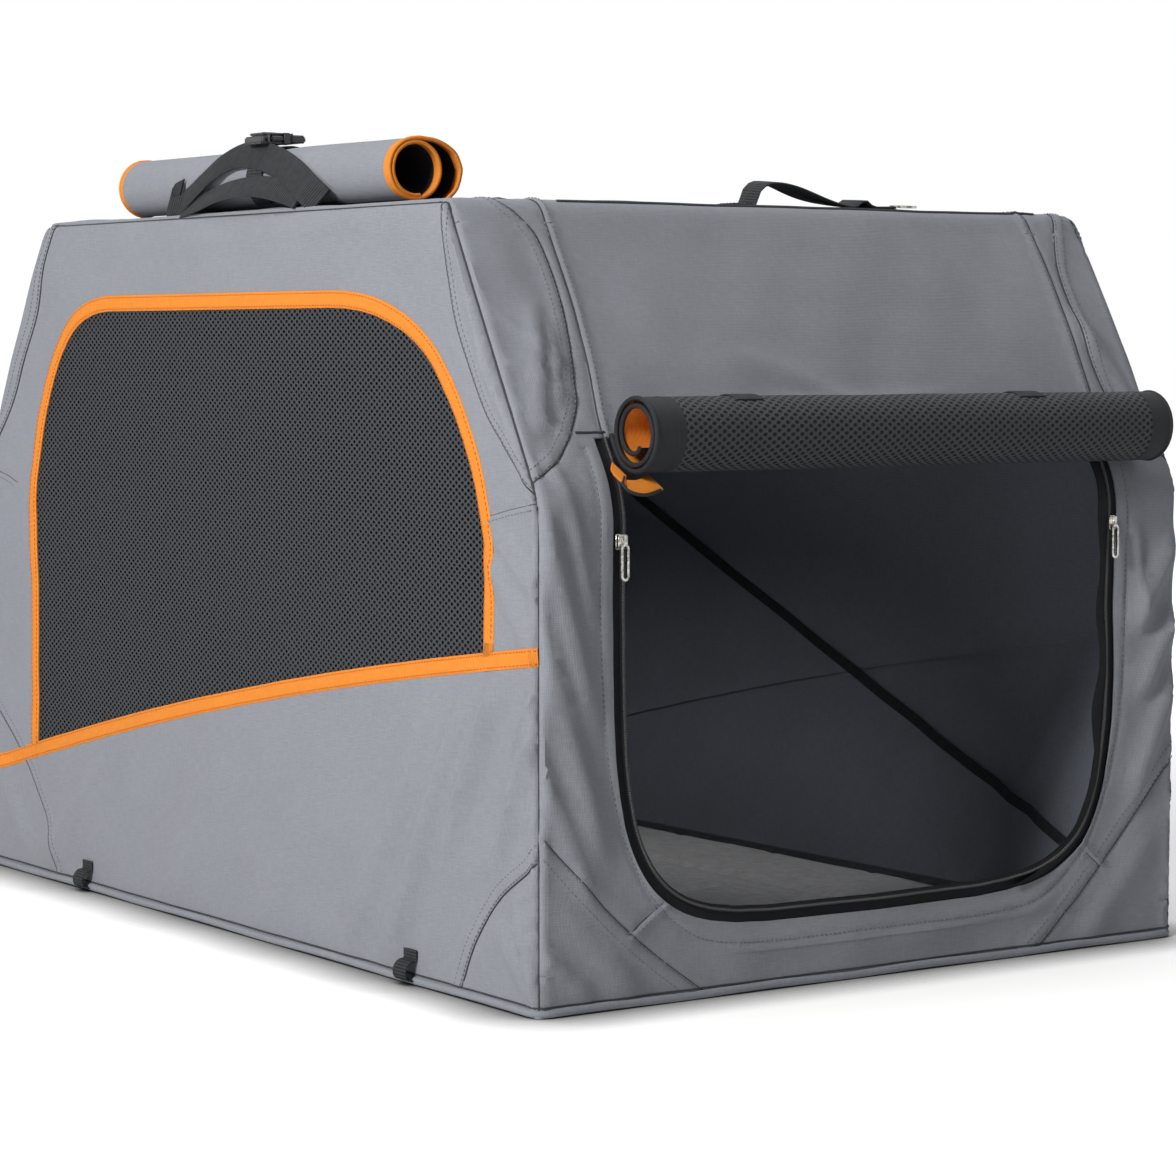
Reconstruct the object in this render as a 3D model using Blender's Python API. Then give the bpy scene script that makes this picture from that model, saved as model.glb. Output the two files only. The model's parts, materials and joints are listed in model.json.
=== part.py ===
"""Soft folding dog crate: a cloth cover on a folding tube frame, with a door rolled up at the front end.

Metres, +Z up. The door end faces -Y, the origin is under the middle of the floor.
Each end folds at a knee: its lower half turns inward on the base, its upper half folds back over it,
and the roof comes straight down between the two ends.
"""
import math

import bmesh
import bpy
from mathutils import Matrix, Vector
from mathutils.geometry import tessellate_polygon

# Overall size
LENGTH = 0.90
WIDTH = 0.61
HEIGHT = 0.58
KNEE_HEIGHT = 0.364
SLOPE_DEPTH = 0.12

# Cloth and running clearances
CLOTH = 0.0025
GAP = 0.0003
LOOSE_GAP = 0.0006
CUT_OVERRUN = 0.004
WELD = 0.00001

# Tube frame
TUBE_RADIUS = 0.007
TUBE_SIDE_CLEARANCE = 0.0055
ROD_RADIUS = 0.005
EYE_RADIUS = 0.008
EYE_WIDTH = 0.012
EYE_CLEARANCE = 0.0005
TUBE_SEAT = 0.0062
RAIL_SHIFT = 0.0195
HOOP_BEND_RADIUS = 0.030

# Knee hinges
KNEE_DEPTH = 0.004
KNEE_TUBE_GAP = 0.012
KNEE_PLATE = 0.003
KNEE_PLATE_GRIP = 0.022
KNEE_PLATE_HALF = 0.005
KNEE_PIN_RADIUS = 0.002
KNEE_CUTBACK = 0.0185
KNEE_STRIP_SIDE = 0.0177

# Front and rear hems on the base
BOOT_HEIGHT = 0.025
PANEL_TOP_EXTENSION = 0.0035

# Door opening, a U that tapers into wide round bottom corners
DOOR_SIDE_INSET = 0.064
DOOR_SILL = 0.050
DOOR_SHOULDER_DROP = 0.028
DOOR_TOP_ALONG = 0.0497
DOOR_CURVE_POWER = 5.0
DOOR_CURVE_STEPS = 9
ZIP_WIDTH = 0.012
ZIP_THICKNESS = 0.0015

# Zip sliders and pulls
SLIDER_WIDTH = 0.009
SLIDER_LENGTH = 0.011
SLIDER_HEIGHT = 0.004
SLIDER_BEVEL = 0.001
PULL_LENGTH = 0.025
PULL_WIDTH = 0.007
PULL_WIRE_RADIUS = 0.0009
PULL_HINGE_SETBACK = 0.002
DOOR_SLIDER_DROP = 0.0055

# Rolled-up door
DOOR_ROLL_RADIUS = 0.029
DOOR_ROLL_CORE = 0.010
DOOR_ROLL_TURNS = 3.25
DOOR_ROLL_CLOTH = 0.0022
DOOR_ROLL_OVERHANG = 0.0055
DOOR_ROLL_DROP = 0.012
DOOR_ROLL_SHIFT = 0.020
DOOR_ROLL_TAIL = 0.028
ROLL_STEPS_PER_TURN = 20

# Straps of webbing
WEBBING = 0.0015
WEBBING_WIDTH = 0.025
DOOR_STRAP_INSET = 0.106
STRAP_STEPS = 26
STRAP_END_DEG = 266.0

# Side windows, in a side wall
WINDOW_FRONT = 0.069
WINDOW_REAR = 0.0994
WINDOW_TOP_INSET = 0.0783
WINDOW_FRONT_SILL = 0.254
WINDOW_REAR_SILL = 0.121
WINDOW_SILL_BOW = 0.010
WINDOW_SHOULDER_DROP = 0.170
WINDOW_TOP_START = 0.285
WINDOW_TOP_END = 0.2465
WINDOW_CURVE_STEPS = 7
WINDOW_SILL_STEPS = 5
WINDOW_PULL_SHARE = 0.62
WINDOW_LEAN_SHARE = 0.12
MESH_THICKNESS = 0.0012
BINDING_WIDTH = 0.013
BINDING_THICKNESS = 0.0034
BAND_WIDTH = 0.013
BAND_THICKNESS = 0.0008
BAND_STEPS = 3

# Brace tapes inside the side walls
BRACE_WIDTH = 0.010
BRACE_THICKNESS = 0.0012
BRACE_FRONT_INSET = 0.108
BRACE_FRONT_HEIGHT = 0.060
BRACE_REAR_INSET = 0.140
BRACE_REAR_HEIGHT = 0.345

# Tie-down loops on the bottom side edges
LOOP_LENGTH = 0.022
LOOP_HEIGHT = 0.016
LOOP_REACH = 0.010
LOOP_WEB = 0.002
LOOP_BASE = 0.004
LOOP_CORNER = 0.0033
LOOP_FRONT_INSET = 0.170
LOOP_REAR_INSET = 0.195

# Floor mat
MAT_SIDE_CLEARANCE = 0.0035
MAT_END_INSET = 0.027
MAT_CORNER_PULL = 0.0117
MAT_CORNER_POWER = 6
MAT_EDGE_HEIGHT = 0.007
MAT_CROWN = 0.019
MAT_DRAW_IN = 0.006
MAT_CELLS_LONG = 20
MAT_CELLS_WIDE = 14

# Roof
ROOF_RAIL_INSET = 0.0575
ROOF_RAIL_RADIUS = 0.006
ROOF_HOOK_WALL = 0.002
ROOF_HOOK_WIDTH = 0.012
ROOF_HOOK_LOW_DEG = -70.0
ROOF_HOOK_HIGH_DEG = 117.0
ROOF_RAIL_REAR_CLEARANCE = 0.045
HATCH_FRONT_INSET = 0.063
HATCH_REAR_INSET = 0.104
HATCH_LEFT_INSET = 0.083
HATCH_RIGHT_INSET = 0.073
HATCH_CORNER = 0.030

# Rolled-up roof cover
COVER_ROLL_RADIUS = 0.025
COVER_ROLL_CORE = 0.0145
COVER_ROLL_TURNS = 1.75
COVER_ROLL_CLOTH = 0.0018
COVER_ROLL_INSET = 0.041
COVER_TAIL = 0.038

# Side-release buckle on the cover strap
BUCKLE_WIDTH = 0.030
BUCKLE_LENGTH = 0.026
BUCKLE_HEIGHT = 0.009
BUCKLE_WALL = 0.002
BUCKLE_BEVEL = 0.0012
PLUG_HEAD_LENGTH = 0.014
PLUG_TONGUE_LENGTH = 0.019

# Roof handle
HANDLE_SPAN = 0.135
HANDLE_TAB = 0.022
HANDLE_RISE = 0.024
HANDLE_LEAN_SHARE = 0.45
HANDLE_PLACE = 0.055
HANDLE_SETBACK = 0.030
HANDLE_THICKNESS = 0.002
HANDLE_STEPS = 12
ROOF_SLIDER_INSET = 0.140

# Resolution of round shapes
TUBE_SIDES = 14
PIN_SIDES = 10
TUBE_BEVEL_STEPS = 4
BEND_STEPS = 6
FILLET_STEPS = 4
SMOOTH_DEG = 40.0
CLOTH_SMOOTH_DEG = 60.0
TAIL_SHARES = (0.5, 1.0)

HALF_LENGTH = LENGTH / 2
HALF_WIDTH = WIDTH / 2
WALL_INNER = HALF_WIDTH - CLOTH
PANEL_HALF_WIDTH = WALL_INNER - GAP
RISE = HEIGHT - KNEE_HEIGHT
SLOPE = math.hypot(SLOPE_DEPTH, RISE)
ROOF_UNDERSIDE = HEIGHT - CLOTH
TUBE_PLACE = WALL_INNER - TUBE_SIDE_CLEARANCE - TUBE_RADIUS
RAIL_PLACE = TUBE_PLACE - RAIL_SHIFT
TUBE_DEPTH = CLOTH + EYE_CLEARANCE + EYE_RADIUS
PIVOT_HEIGHT = CLOTH + 2 * EYE_CLEARANCE + EYE_RADIUS
BORE_RADIUS = ROD_RADIUS + GAP
BOOT_TOP = CLOTH + BOOT_HEIGHT
HOOK_BORE = TUBE_RADIUS + GAP
HOOK_RADIUS = HOOK_BORE + ROOF_HOOK_WALL
TOP_TUBE_HEIGHT = ROOF_UNDERSIDE - GAP - HOOK_RADIUS
ROOF_HALF_LENGTH = HALF_LENGTH - SLOPE_DEPTH
KNEE_STRIP_HALF_WIDTH = TUBE_PLACE - EYE_WIDTH / 2
DOOR_HALF_WIDTH = HALF_WIDTH - DOOR_SIDE_INSET
DOOR_SHOULDER = KNEE_HEIGHT - DOOR_SHOULDER_DROP
DOOR_STRAP_PLACE = DOOR_HALF_WIDTH - DOOR_STRAP_INSET
ROOF_RAIL_PLACE = HALF_WIDTH - ROOF_RAIL_INSET
HATCH_LEFT = HALF_WIDTH - HATCH_LEFT_INSET
HATCH_RIGHT = HALF_WIDTH - HATCH_RIGHT_INSET
COVER_ROLL_PLACE = HALF_WIDTH - COVER_ROLL_INSET
ROOF_SLIDER_PLACE = HALF_WIDTH - ROOF_SLIDER_INSET
FRONT = -1
REAR = 1
SIDES = (("left", -1), ("right", 1))


def clear_scene():
    for thing in list(bpy.data.objects):
        bpy.data.objects.remove(thing, do_unlink=True)


def principled(name, colour, roughness, metallic=0.0):
    material = bpy.data.materials.new(name)
    material.use_nodes = True
    shader = material.node_tree.nodes["Principled BSDF"]
    shader.inputs["Base Color"].default_value = (*colour, 1.0)
    shader.inputs["Roughness"].default_value = roughness
    shader.inputs["Metallic"].default_value = metallic
    material.diffuse_color = (*colour, 1.0)
    return material


# Geometry of the two ends, seen from the side

def slope_point(side, depth, along):
    """(y, z) at a depth inside an end's sloped face, and a distance up it from the knee edge."""
    inward = (depth * RISE + along * SLOPE_DEPTH) / SLOPE
    up = (along * RISE - depth * SLOPE_DEPTH) / SLOPE
    return side * (HALF_LENGTH - inward), KNEE_HEIGHT + up


def upright_point(side, depth, height):
    """(y, z) at a depth inside an end's upright face."""
    return side * (HALF_LENGTH - depth), height


def knee_point(side, depth):
    """(y, z) at one depth inside both faces."""
    return upright_point(side, depth, KNEE_HEIGHT + depth * (RISE - SLOPE) / SLOPE_DEPTH)


def along_at_height(depth, height):
    """How far up the sloped face a point at this depth has this height."""
    return ((height - KNEE_HEIGHT) * SLOPE + depth * SLOPE_DEPTH) / RISE


KNEE_ALONG = along_at_height(KNEE_DEPTH, knee_point(FRONT, KNEE_DEPTH)[1])
TOP_ALONG = along_at_height(TUBE_DEPTH, TOP_TUBE_HEIGHT)
PANEL_TOP_ALONG = TOP_ALONG + PANEL_TOP_EXTENSION


# Mesh building

def finish(name, bm, material, smooth_deg=None):
    bmesh.ops.recalc_face_normals(bm, faces=bm.faces[:])
    mesh = bpy.data.meshes.new(name)
    bm.to_mesh(mesh)
    bm.free()
    if smooth_deg is not None:
        mesh.shade_smooth()
        mesh.set_sharp_from_angle(angle=math.radians(smooth_deg))
    return link(name, mesh, material)


def link(name, data, material):
    thing = bpy.data.objects.new(name, data)
    bpy.context.scene.collection.objects.link(thing)
    data.materials.clear()
    data.materials.append(material)
    return thing


def plate(name, outline, low, high, place, material, holes=()):
    """A flat solid: an outline and its holes in (u, v), from w = low to high, laid out by place(u, v, w)."""
    loops = [list(outline), *[list(hole) for hole in holes]]
    flat = [point for loop in loops for point in loop]
    bm = bmesh.new()
    floor = [bm.verts.new(place(u, v, low)) for u, v in flat]
    top = [bm.verts.new(place(u, v, high)) for u, v in flat]
    for a, b, c in tessellate_polygon([[Vector((u, v, 0)) for u, v in loop] for loop in loops]):
        bm.faces.new((floor[a], floor[b], floor[c]))
        bm.faces.new((top[c], top[b], top[a]))
    start = 0
    for loop in loops:
        count = len(loop)
        for i in range(count):
            a = start + i
            b = start + (i + 1) % count
            bm.faces.new((floor[a], floor[b], top[b], top[a]))
        start += count
    return finish(name, bm, material)


def across(u, v, w):
    """An outline in (y, z), pushed along X."""
    return w, u, v


def level(u, v, w):
    """An outline in (x, y), pushed up."""
    return u, v, w


def upright(side):
    """An outline in (x, height) on an end's upright face, pushed inward by depth."""
    def place(u, v, w):
        y, z = upright_point(side, w, v)
        return u, y, z
    return place


def sloped(side):
    """An outline in (x, along) on an end's sloped face, pushed inward by depth."""
    def place(u, v, w):
        y, z = slope_point(side, w, v)
        return u, y, z
    return place


def rectangle(u0, u1, v0, v1):
    return [(u0, v0), (u1, v0), (u1, v1), (u0, v1)]


def box(name, x, y, z, material):
    """A block from pairs of limits."""
    return plate(name, rectangle(x[0], x[1], y[0], y[1]), z[0], z[1], level, material)


def filleted(corners, radii, steps=FILLET_STEPS):
    """A closed outline with its corners rounded, each by its own radius."""
    points = []
    for i, (corner, radius) in enumerate(zip(corners, radii)):
        here = Vector(corner)
        before = (Vector(corners[i - 1]) - here).normalized()
        after = (Vector(corners[(i + 1) % len(corners)]) - here).normalized()
        if radius == 0:
            points.append(tuple(here))
            continue
        half = before.angle(after) / 2
        centre = here + (before + after).normalized() * radius / math.sin(half)
        start = here + before * radius / math.tan(half) - centre
        end = here + after * radius / math.tan(half) - centre
        sweep = math.atan2(start.x * end.y - start.y * end.x, start.dot(end))
        for k in range(steps + 1):
            turn = sweep * k / steps
            points.append((centre.x + start.x * math.cos(turn) - start.y * math.sin(turn),
                           centre.y + start.x * math.sin(turn) + start.y * math.cos(turn)))
    return points


def shifted(path, distance, closed=False):
    """A path moved sideways to its left by a distance."""
    moved = []
    last = len(path) - 1
    for i, here in enumerate(path):
        before = path[i - 1] if closed or i > 0 else here
        after = path[(i + 1) % len(path)] if closed or i < last else here
        into = Vector(here) - Vector(before)
        out = Vector(after) - Vector(here)
        into = into.normalized() if into.length > 0 else out.normalized()
        out = out.normalized() if out.length > 0 else into
        left = Vector((-into.y - out.y, into.x + out.x)).normalized()
        reach = distance / left.dot(Vector((-into.y, into.x)))
        moved.append((here[0] + left.x * reach, here[1] + left.y * reach))
    return moved


def ribbon(path, thickness):
    """The outline of a strip of cloth whose middle follows a path."""
    return shifted(path, -thickness / 2) + shifted(path, thickness / 2)[::-1]


def cylinder(name, start, end, radius, material, sides=TUBE_SIDES):
    axis = Vector(end) - Vector(start)
    bm = bmesh.new()
    bmesh.ops.create_cone(bm, cap_ends=True, segments=sides, radius1=radius, radius2=radius,
                          depth=axis.length)
    turn = axis.to_track_quat("Z", "Y").to_matrix().to_4x4()
    turn.translation = (Vector(start) + Vector(end)) / 2
    bmesh.ops.transform(bm, matrix=turn, verts=bm.verts[:])
    return finish(name, bm, material, smooth_deg=SMOOTH_DEG)


def tube(name, points, radius, material):
    """A round tube along points, as a bevelled curve."""
    curve = bpy.data.curves.new(name, "CURVE")
    curve.dimensions = "3D"
    curve.bevel_depth = radius
    curve.bevel_resolution = TUBE_BEVEL_STEPS
    curve.use_fill_caps = True
    spline = curve.splines.new("POLY")
    spline.points.add(len(points) - 1)
    for knot, point in zip(spline.points, points):
        knot.co = (*point, 1.0)
    return link(name, curve, material)


def solid_mesh(thing, weld=0):
    """The object with its modifiers applied, as a plain mesh object, with points nearer than weld joined."""
    name = thing.name
    material = thing.data.materials[0]
    depsgraph = bpy.context.evaluated_depsgraph_get()
    mesh = bpy.data.meshes.new_from_object(thing.evaluated_get(depsgraph))
    bpy.data.objects.remove(thing, do_unlink=True)
    bm = bmesh.new()
    bm.from_mesh(mesh)
    if weld > 0:
        bmesh.ops.remove_doubles(bm, verts=bm.verts[:], dist=weld)
    return finish(name, bm, material, smooth_deg=SMOOTH_DEG)


def combine(thing, others, operation, solver):
    for other in others:
        modifier = thing.modifiers.new(other.name, "BOOLEAN")
        modifier.operation = operation
        modifier.solver = solver
        modifier.object = other
    result = solid_mesh(thing)
    for other in others:
        bpy.data.objects.remove(other, do_unlink=True)
    return result


def unite(thing, others, solver="EXACT"):
    return combine(thing, others, "UNION", solver)


def cut(thing, others, solver="EXACT"):
    return combine(thing, others, "DIFFERENCE", solver)


def frame_tube(thing, others, holes):
    """A tube with what is welded to it and with its holes. EXACT leaves gaps in these at some sizes."""
    return cut(unite(thing, others, "MANIFOLD"), holes, "MANIFOLD")


def bevelled(thing, width):
    modifier = thing.modifiers.new("soft edges", "BEVEL")
    modifier.width = width
    modifier.segments = 2
    modifier.limit_method = "ANGLE"
    return thing


# Base

def floor_and_hems(cloth):
    box("floor_panel", (-HALF_WIDTH, HALF_WIDTH), (-HALF_LENGTH, HALF_LENGTH), (0, CLOTH), cloth)
    for name, side in (("front_hem", FRONT), ("rear_hem", REAR)):
        outline = rectangle(-PANEL_HALF_WIDTH, PANEL_HALF_WIDTH, CLOTH + GAP, BOOT_TOP)
        plate(name, outline, 0, CLOTH, upright(side), cloth)


def base_frame(steel):
    """Two cross rods that the legs turn on, and two side rails that hold the rods apart."""
    for name, side in (("front_pivot_rod", FRONT), ("rear_pivot_rod", REAR)):
        y, z = upright_point(side, TUBE_DEPTH, PIVOT_HEIGHT)
        reach = TUBE_PLACE + EYE_WIDTH / 2 + LOOSE_GAP
        cylinder(name, (-reach, y, z), (reach, y, z), ROD_RADIUS, steel)
    front = upright_point(FRONT, TUBE_DEPTH, PIVOT_HEIGHT)
    rear = upright_point(REAR, TUBE_DEPTH, PIVOT_HEIGHT)
    for name, sign in SIDES:
        x = sign * RAIL_PLACE
        rail = cylinder(f"base_rail_{name}", (x, front[0] + TUBE_SEAT, front[1]),
                        (x, rear[0] - TUBE_SEAT, rear[1]), TUBE_RADIUS, steel)
        ends = [eye(f"eye_{k}", x, *place, steel) for k, place in enumerate((front, rear))]
        bores = [bore(f"bore_{k}", x, *place, BORE_RADIUS, steel) for k, place in enumerate((front, rear))]
        frame_tube(rail, ends, bores)


def eye(name, x, y, z, material):
    return cylinder(name, (x - EYE_WIDTH / 2, y, z), (x + EYE_WIDTH / 2, y, z), EYE_RADIUS, material)


def bore(name, x, y, z, radius, material):
    reach = EYE_WIDTH / 2 + CUT_OVERRUN
    return cylinder(name, (x - reach, y, z), (x + reach, y, z), radius, material)


def floor_mat(pad):
    """A thin quilted cushion: a crown over the middle and sides that pull in between its corners."""
    half_x = RAIL_PLACE - EYE_WIDTH / 2 - MAT_SIDE_CLEARANCE
    half_y = HALF_LENGTH - MAT_END_INSET
    bm = bmesh.new()
    layers = []
    for upper in (True, False):
        grid = []
        for j in range(MAT_CELLS_LONG + 1):
            row = []
            for i in range(MAT_CELLS_WIDE + 1):
                u = 2 * i / MAT_CELLS_WIDE - 1
                v = 2 * j / MAT_CELLS_LONG - 1
                row.append(bm.verts.new(mat_point(u, v, half_x, half_y, upper)))
            grid.append(row)
        layers.append(grid)
        for j in range(MAT_CELLS_LONG):
            for i in range(MAT_CELLS_WIDE):
                bm.faces.new((grid[j][i], grid[j][i + 1], grid[j + 1][i + 1], grid[j + 1][i]))
    rims = [rim(grid) for grid in layers]
    for i in range(len(rims[0])):
        k = (i + 1) % len(rims[0])
        bm.faces.new((rims[0][i], rims[0][k], rims[1][k], rims[1][i]))
    finish("floor_mat", bm, pad, smooth_deg=CLOTH_SMOOTH_DEG)


def mat_point(u, v, half_x, half_y, upper):
    """A point of the mat from its place across and along, each from -1 to 1."""
    corner_pull = MAT_CORNER_PULL * abs(u * v) ** MAT_CORNER_POWER
    x = u * (half_x - MAT_DRAW_IN * (1 - v * v) * u * u) - math.copysign(corner_pull, u)
    y = v * (half_y - MAT_DRAW_IN * (1 - u * u) * v * v) - math.copysign(corner_pull, v)
    if not upper:
        return x, y, CLOTH + GAP
    crown = ((1 - u ** 4) * (1 - v ** 4)) ** 0.5
    return x, y, CLOTH + GAP + MAT_EDGE_HEIGHT + (MAT_CROWN - MAT_EDGE_HEIGHT) * crown


def rim(grid):
    """The outer vertices of a grid, in order round it."""
    first = grid[0][:-1]
    right = [row[-1] for row in grid[:-1]]
    last = grid[-1][:0:-1]
    left = [row[0] for row in grid[:0:-1]]
    return first + right + last + left


# Side walls

def bezier(a, b, c, d, steps):
    points = []
    for k in range(steps + 1):
        t = k / steps
        weights = ((1 - t) ** 3, 3 * t * (1 - t) ** 2, 3 * t * t * (1 - t), t ** 3)
        points.append(tuple(sum(w * p[n] for w, p in zip(weights, (a, b, c, d))) for n in (0, 1)))
    return points


def window_outline():
    """The mesh's edge in (y, z), from the front sill corner up, over and down to the rear, and back."""
    front = -HALF_LENGTH + WINDOW_FRONT
    rear = HALF_LENGTH - WINDOW_REAR
    top = HEIGHT - WINDOW_TOP_INSET
    shoulder = top - WINDOW_SHOULDER_DROP
    start = -HALF_LENGTH + WINDOW_TOP_START
    end = HALF_LENGTH - WINDOW_TOP_END
    lift = WINDOW_SHOULDER_DROP * WINDOW_PULL_SHARE
    over_front = bezier((front, shoulder), (front + (start - front) * WINDOW_LEAN_SHARE, shoulder + lift),
                        (start - (start - front) * WINDOW_PULL_SHARE, top), (start, top), WINDOW_CURVE_STEPS)
    over_rear = bezier((end, top), (end + (rear - end) * WINDOW_PULL_SHARE, top),
                       (rear - (rear - end) * WINDOW_LEAN_SHARE, shoulder + lift), (rear, shoulder),
                       WINDOW_CURVE_STEPS)
    sill = []
    for k in range(WINDOW_SILL_STEPS + 1):
        t = k / WINDOW_SILL_STEPS
        sill.append(sill_point(rear + (front - rear) * t))
    return over_front + over_rear + sill


def sill_point(y):
    """(y, z) on the sweeping band under the window."""
    front = -HALF_LENGTH + WINDOW_FRONT
    rear = HALF_LENGTH - WINDOW_REAR
    t = (y - rear) / (front - rear)
    drop = WINDOW_FRONT_SILL - WINDOW_REAR_SILL
    return y, WINDOW_REAR_SILL + drop * t + 4 * WINDOW_SILL_BOW * t * (1 - t)


def wall_outline():
    foot = CLOTH + GAP
    top_inset = SLOPE_DEPTH * (ROOF_UNDERSIDE - GAP - KNEE_HEIGHT) / RISE
    top = ROOF_UNDERSIDE - GAP
    points = [(-HALF_LENGTH, foot), (-HALF_LENGTH, KNEE_HEIGHT), (top_inset - HALF_LENGTH, top)]
    return points + [(-y, z) for y, z in points[::-1]]


def side_walls(cloth, mesh, binding):
    window = window_outline()
    bound = shifted(window, BINDING_WIDTH, closed=True)
    proud = (BINDING_THICKNESS - CLOTH) / 2
    middle = HALF_WIDTH - CLOTH / 2
    clear = BINDING_WIDTH + LOOSE_GAP
    for name, sign in SIDES:
        plate(f"side_wall_{name}", wall_outline(), sign * WALL_INNER, sign * HALF_WIDTH, across, cloth,
              holes=[shifted(bound, GAP, closed=True)])
        plate(f"window_mesh_{name}", shifted(window, -GAP, closed=True), sign * (middle - MESH_THICKNESS / 2),
              sign * (middle + MESH_THICKNESS / 2), across, mesh)
        plate(f"window_binding_{name}", bound, sign * (WALL_INNER - proud), sign * (HALF_WIDTH + proud),
              across, binding, holes=[window])
        for end, path in (("front", band_path(-HALF_LENGTH, -HALF_LENGTH + WINDOW_FRONT - clear)),
                          ("rear", band_path(HALF_LENGTH - WINDOW_REAR + clear, HALF_LENGTH))):
            outline = [(y, z - BAND_WIDTH) for y, z in path] + path[::-1]
            low = HALF_WIDTH + GAP
            plate(f"side_band_{name}_{end}", outline, sign * low, sign * (low + BAND_THICKNESS), across,
                  binding)


def band_path(start, end):
    """The sweeping band under the window, carried on from one place along the wall to another."""
    return [sill_point(start + (end - start) * k / BAND_STEPS) for k in range(BAND_STEPS + 1)]


def brace_tapes(webbing):
    """A flat tape sewn inside each wall, from low at the front to the knee at the rear."""
    front = (-HALF_LENGTH + BRACE_FRONT_INSET, BRACE_FRONT_HEIGHT)
    rear = (HALF_LENGTH - BRACE_REAR_INSET, BRACE_REAR_HEIGHT)
    outline = ribbon([front, rear], BRACE_WIDTH)
    outer = WALL_INNER - (BINDING_THICKNESS - CLOTH) / 2 - GAP
    for name, sign in SIDES:
        plate(f"brace_tape_{name}", outline, sign * (outer - BRACE_THICKNESS), sign * outer, across, webbing)


def tie_loops(webbing):
    """Small webbing loops that stand out from the foot of each side wall."""
    for name, sign in SIDES:
        for end, y in (("front", -HALF_LENGTH + LOOP_FRONT_INSET), ("rear", HALF_LENGTH - LOOP_REAR_INSET)):
            root = HALF_WIDTH + GAP
            corners = rectangle(root, root + LOOP_REACH, LOOP_BASE, LOOP_BASE + LOOP_HEIGHT)
            outer = filleted(corners, (0, LOOP_CORNER, LOOP_CORNER, 0))
            inner = rectangle(root + LOOP_WEB, root + LOOP_REACH - LOOP_WEB, LOOP_BASE + LOOP_WEB,
                              LOOP_BASE + LOOP_HEIGHT - LOOP_WEB)
            plate(f"tie_loop_{name}_{end}", outer, y - LOOP_LENGTH / 2, y + LOOP_LENGTH / 2,
                  lambda u, v, w, sign=sign: (sign * u, w, v), webbing, holes=[inner])


# Ends

def knee_plate(name, side, x0, x1, near, far, material):
    """A hinge plate from a round end at the knee pin to a place inside the tube, between two x limits."""
    pin = Vector(knee_point(side, KNEE_DEPTH))
    far = Vector(far)
    run = (far - Vector(near)).normalized()
    wide = Vector((-run.y, run.x)) * KNEE_PLATE_HALF
    corners = [far + wide, far - wide]
    round_end = KNEE_DEPTH - GAP
    circle = [pin + Vector(point) for point in arc_points(round_end, 0, 360, TUBE_SIDES)]
    return plate(name, hull(corners + circle), x0, x1, across, material)


def hull(points):
    """The convex outline round some points."""
    ordered = sorted((p.x, p.y) for p in points)

    def half(sequence):
        chain = []
        for p in sequence:
            while len(chain) > 1 and winding(chain[-2], chain[-1], p) <= 0:
                chain.pop()
            chain.append(p)
        return chain[:-1]

    return half(ordered) + half(ordered[::-1])


def winding(a, b, c):
    """Twice the area of a triangle, above zero when its corners run anticlockwise."""
    return (b[0] - a[0]) * (c[1] - a[1]) - (b[1] - a[1]) * (c[0] - a[0])


def plate_layers(sign):
    """The x limits of the leg's hinge plate and of the hoop's, side by side on the tube's middle."""
    leg = (sign * (TUBE_PLACE + LOOSE_GAP / 2), sign * (TUBE_PLACE + LOOSE_GAP / 2 + KNEE_PLATE))
    hoop = (sign * (TUBE_PLACE - LOOSE_GAP / 2), sign * (TUBE_PLACE - LOOSE_GAP / 2 - KNEE_PLATE))
    return leg, hoop


def legs(side, end, steel):
    """The tubes of an end's lower half, each from its eye on the pivot rod to its knee plate and pin."""
    y, z = upright_point(side, TUBE_DEPTH, PIVOT_HEIGHT)
    pin_y, pin_z = knee_point(side, KNEE_DEPTH)
    tube_top = pin_z - KNEE_TUBE_GAP
    for name, sign in SIDES:
        x = sign * TUBE_PLACE
        leg = cylinder(f"{end}_leg_{name}", (x, y, z + TUBE_SEAT), (x, y, tube_top), TUBE_RADIUS, steel)
        own, other = plate_layers(sign)
        ear = knee_plate("ear", side, *own, (y, tube_top), (y, tube_top - KNEE_PLATE_GRIP), steel)
        root = (own[0] + own[1]) / 2
        pin = cylinder("pin", (root, pin_y, pin_z), (other[1], pin_y, pin_z), KNEE_PIN_RADIUS, steel,
                       sides=PIN_SIDES)
        frame_tube(leg, [eye("eye", x, y, z, steel), ear, pin], [bore("bore", x, y, z, BORE_RADIUS, steel)])


def hoop(side, end, steel):
    """The bent tube of an end's upper half, up one side of the slope, across the top and down the other."""
    start = KNEE_ALONG + KNEE_TUBE_GAP
    flat = bent_path([(-TUBE_PLACE, start), (-TUBE_PLACE, TOP_ALONG), (TUBE_PLACE, TOP_ALONG),
                      (TUBE_PLACE, start)])
    points = [(u, *slope_point(side, TUBE_DEPTH, v)) for u, v in flat]
    thing = solid_mesh(tube(f"{end}_upper_hoop", points, TUBE_RADIUS, steel), weld=WELD)
    pin_y, pin_z = knee_point(side, KNEE_DEPTH)
    ears, holes = [], []
    for name, sign in SIDES:
        layer = plate_layers(sign)[1]
        near, far = [slope_point(side, TUBE_DEPTH, start + reach) for reach in (0, KNEE_PLATE_GRIP)]
        ears.append(knee_plate(f"ear_{name}", side, *layer, near, far, steel))
        holes.append(bore(f"hole_{name}", sign * TUBE_PLACE, pin_y, pin_z, KNEE_PIN_RADIUS + GAP, steel))
    frame_tube(thing, ears, holes)


def bent_path(corners):
    """An open path whose two inner corners are bends."""
    radii = [0, HOOP_BEND_RADIUS, HOOP_BEND_RADIUS, 0]
    return filleted(corners, radii, steps=BEND_STEPS)


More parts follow.
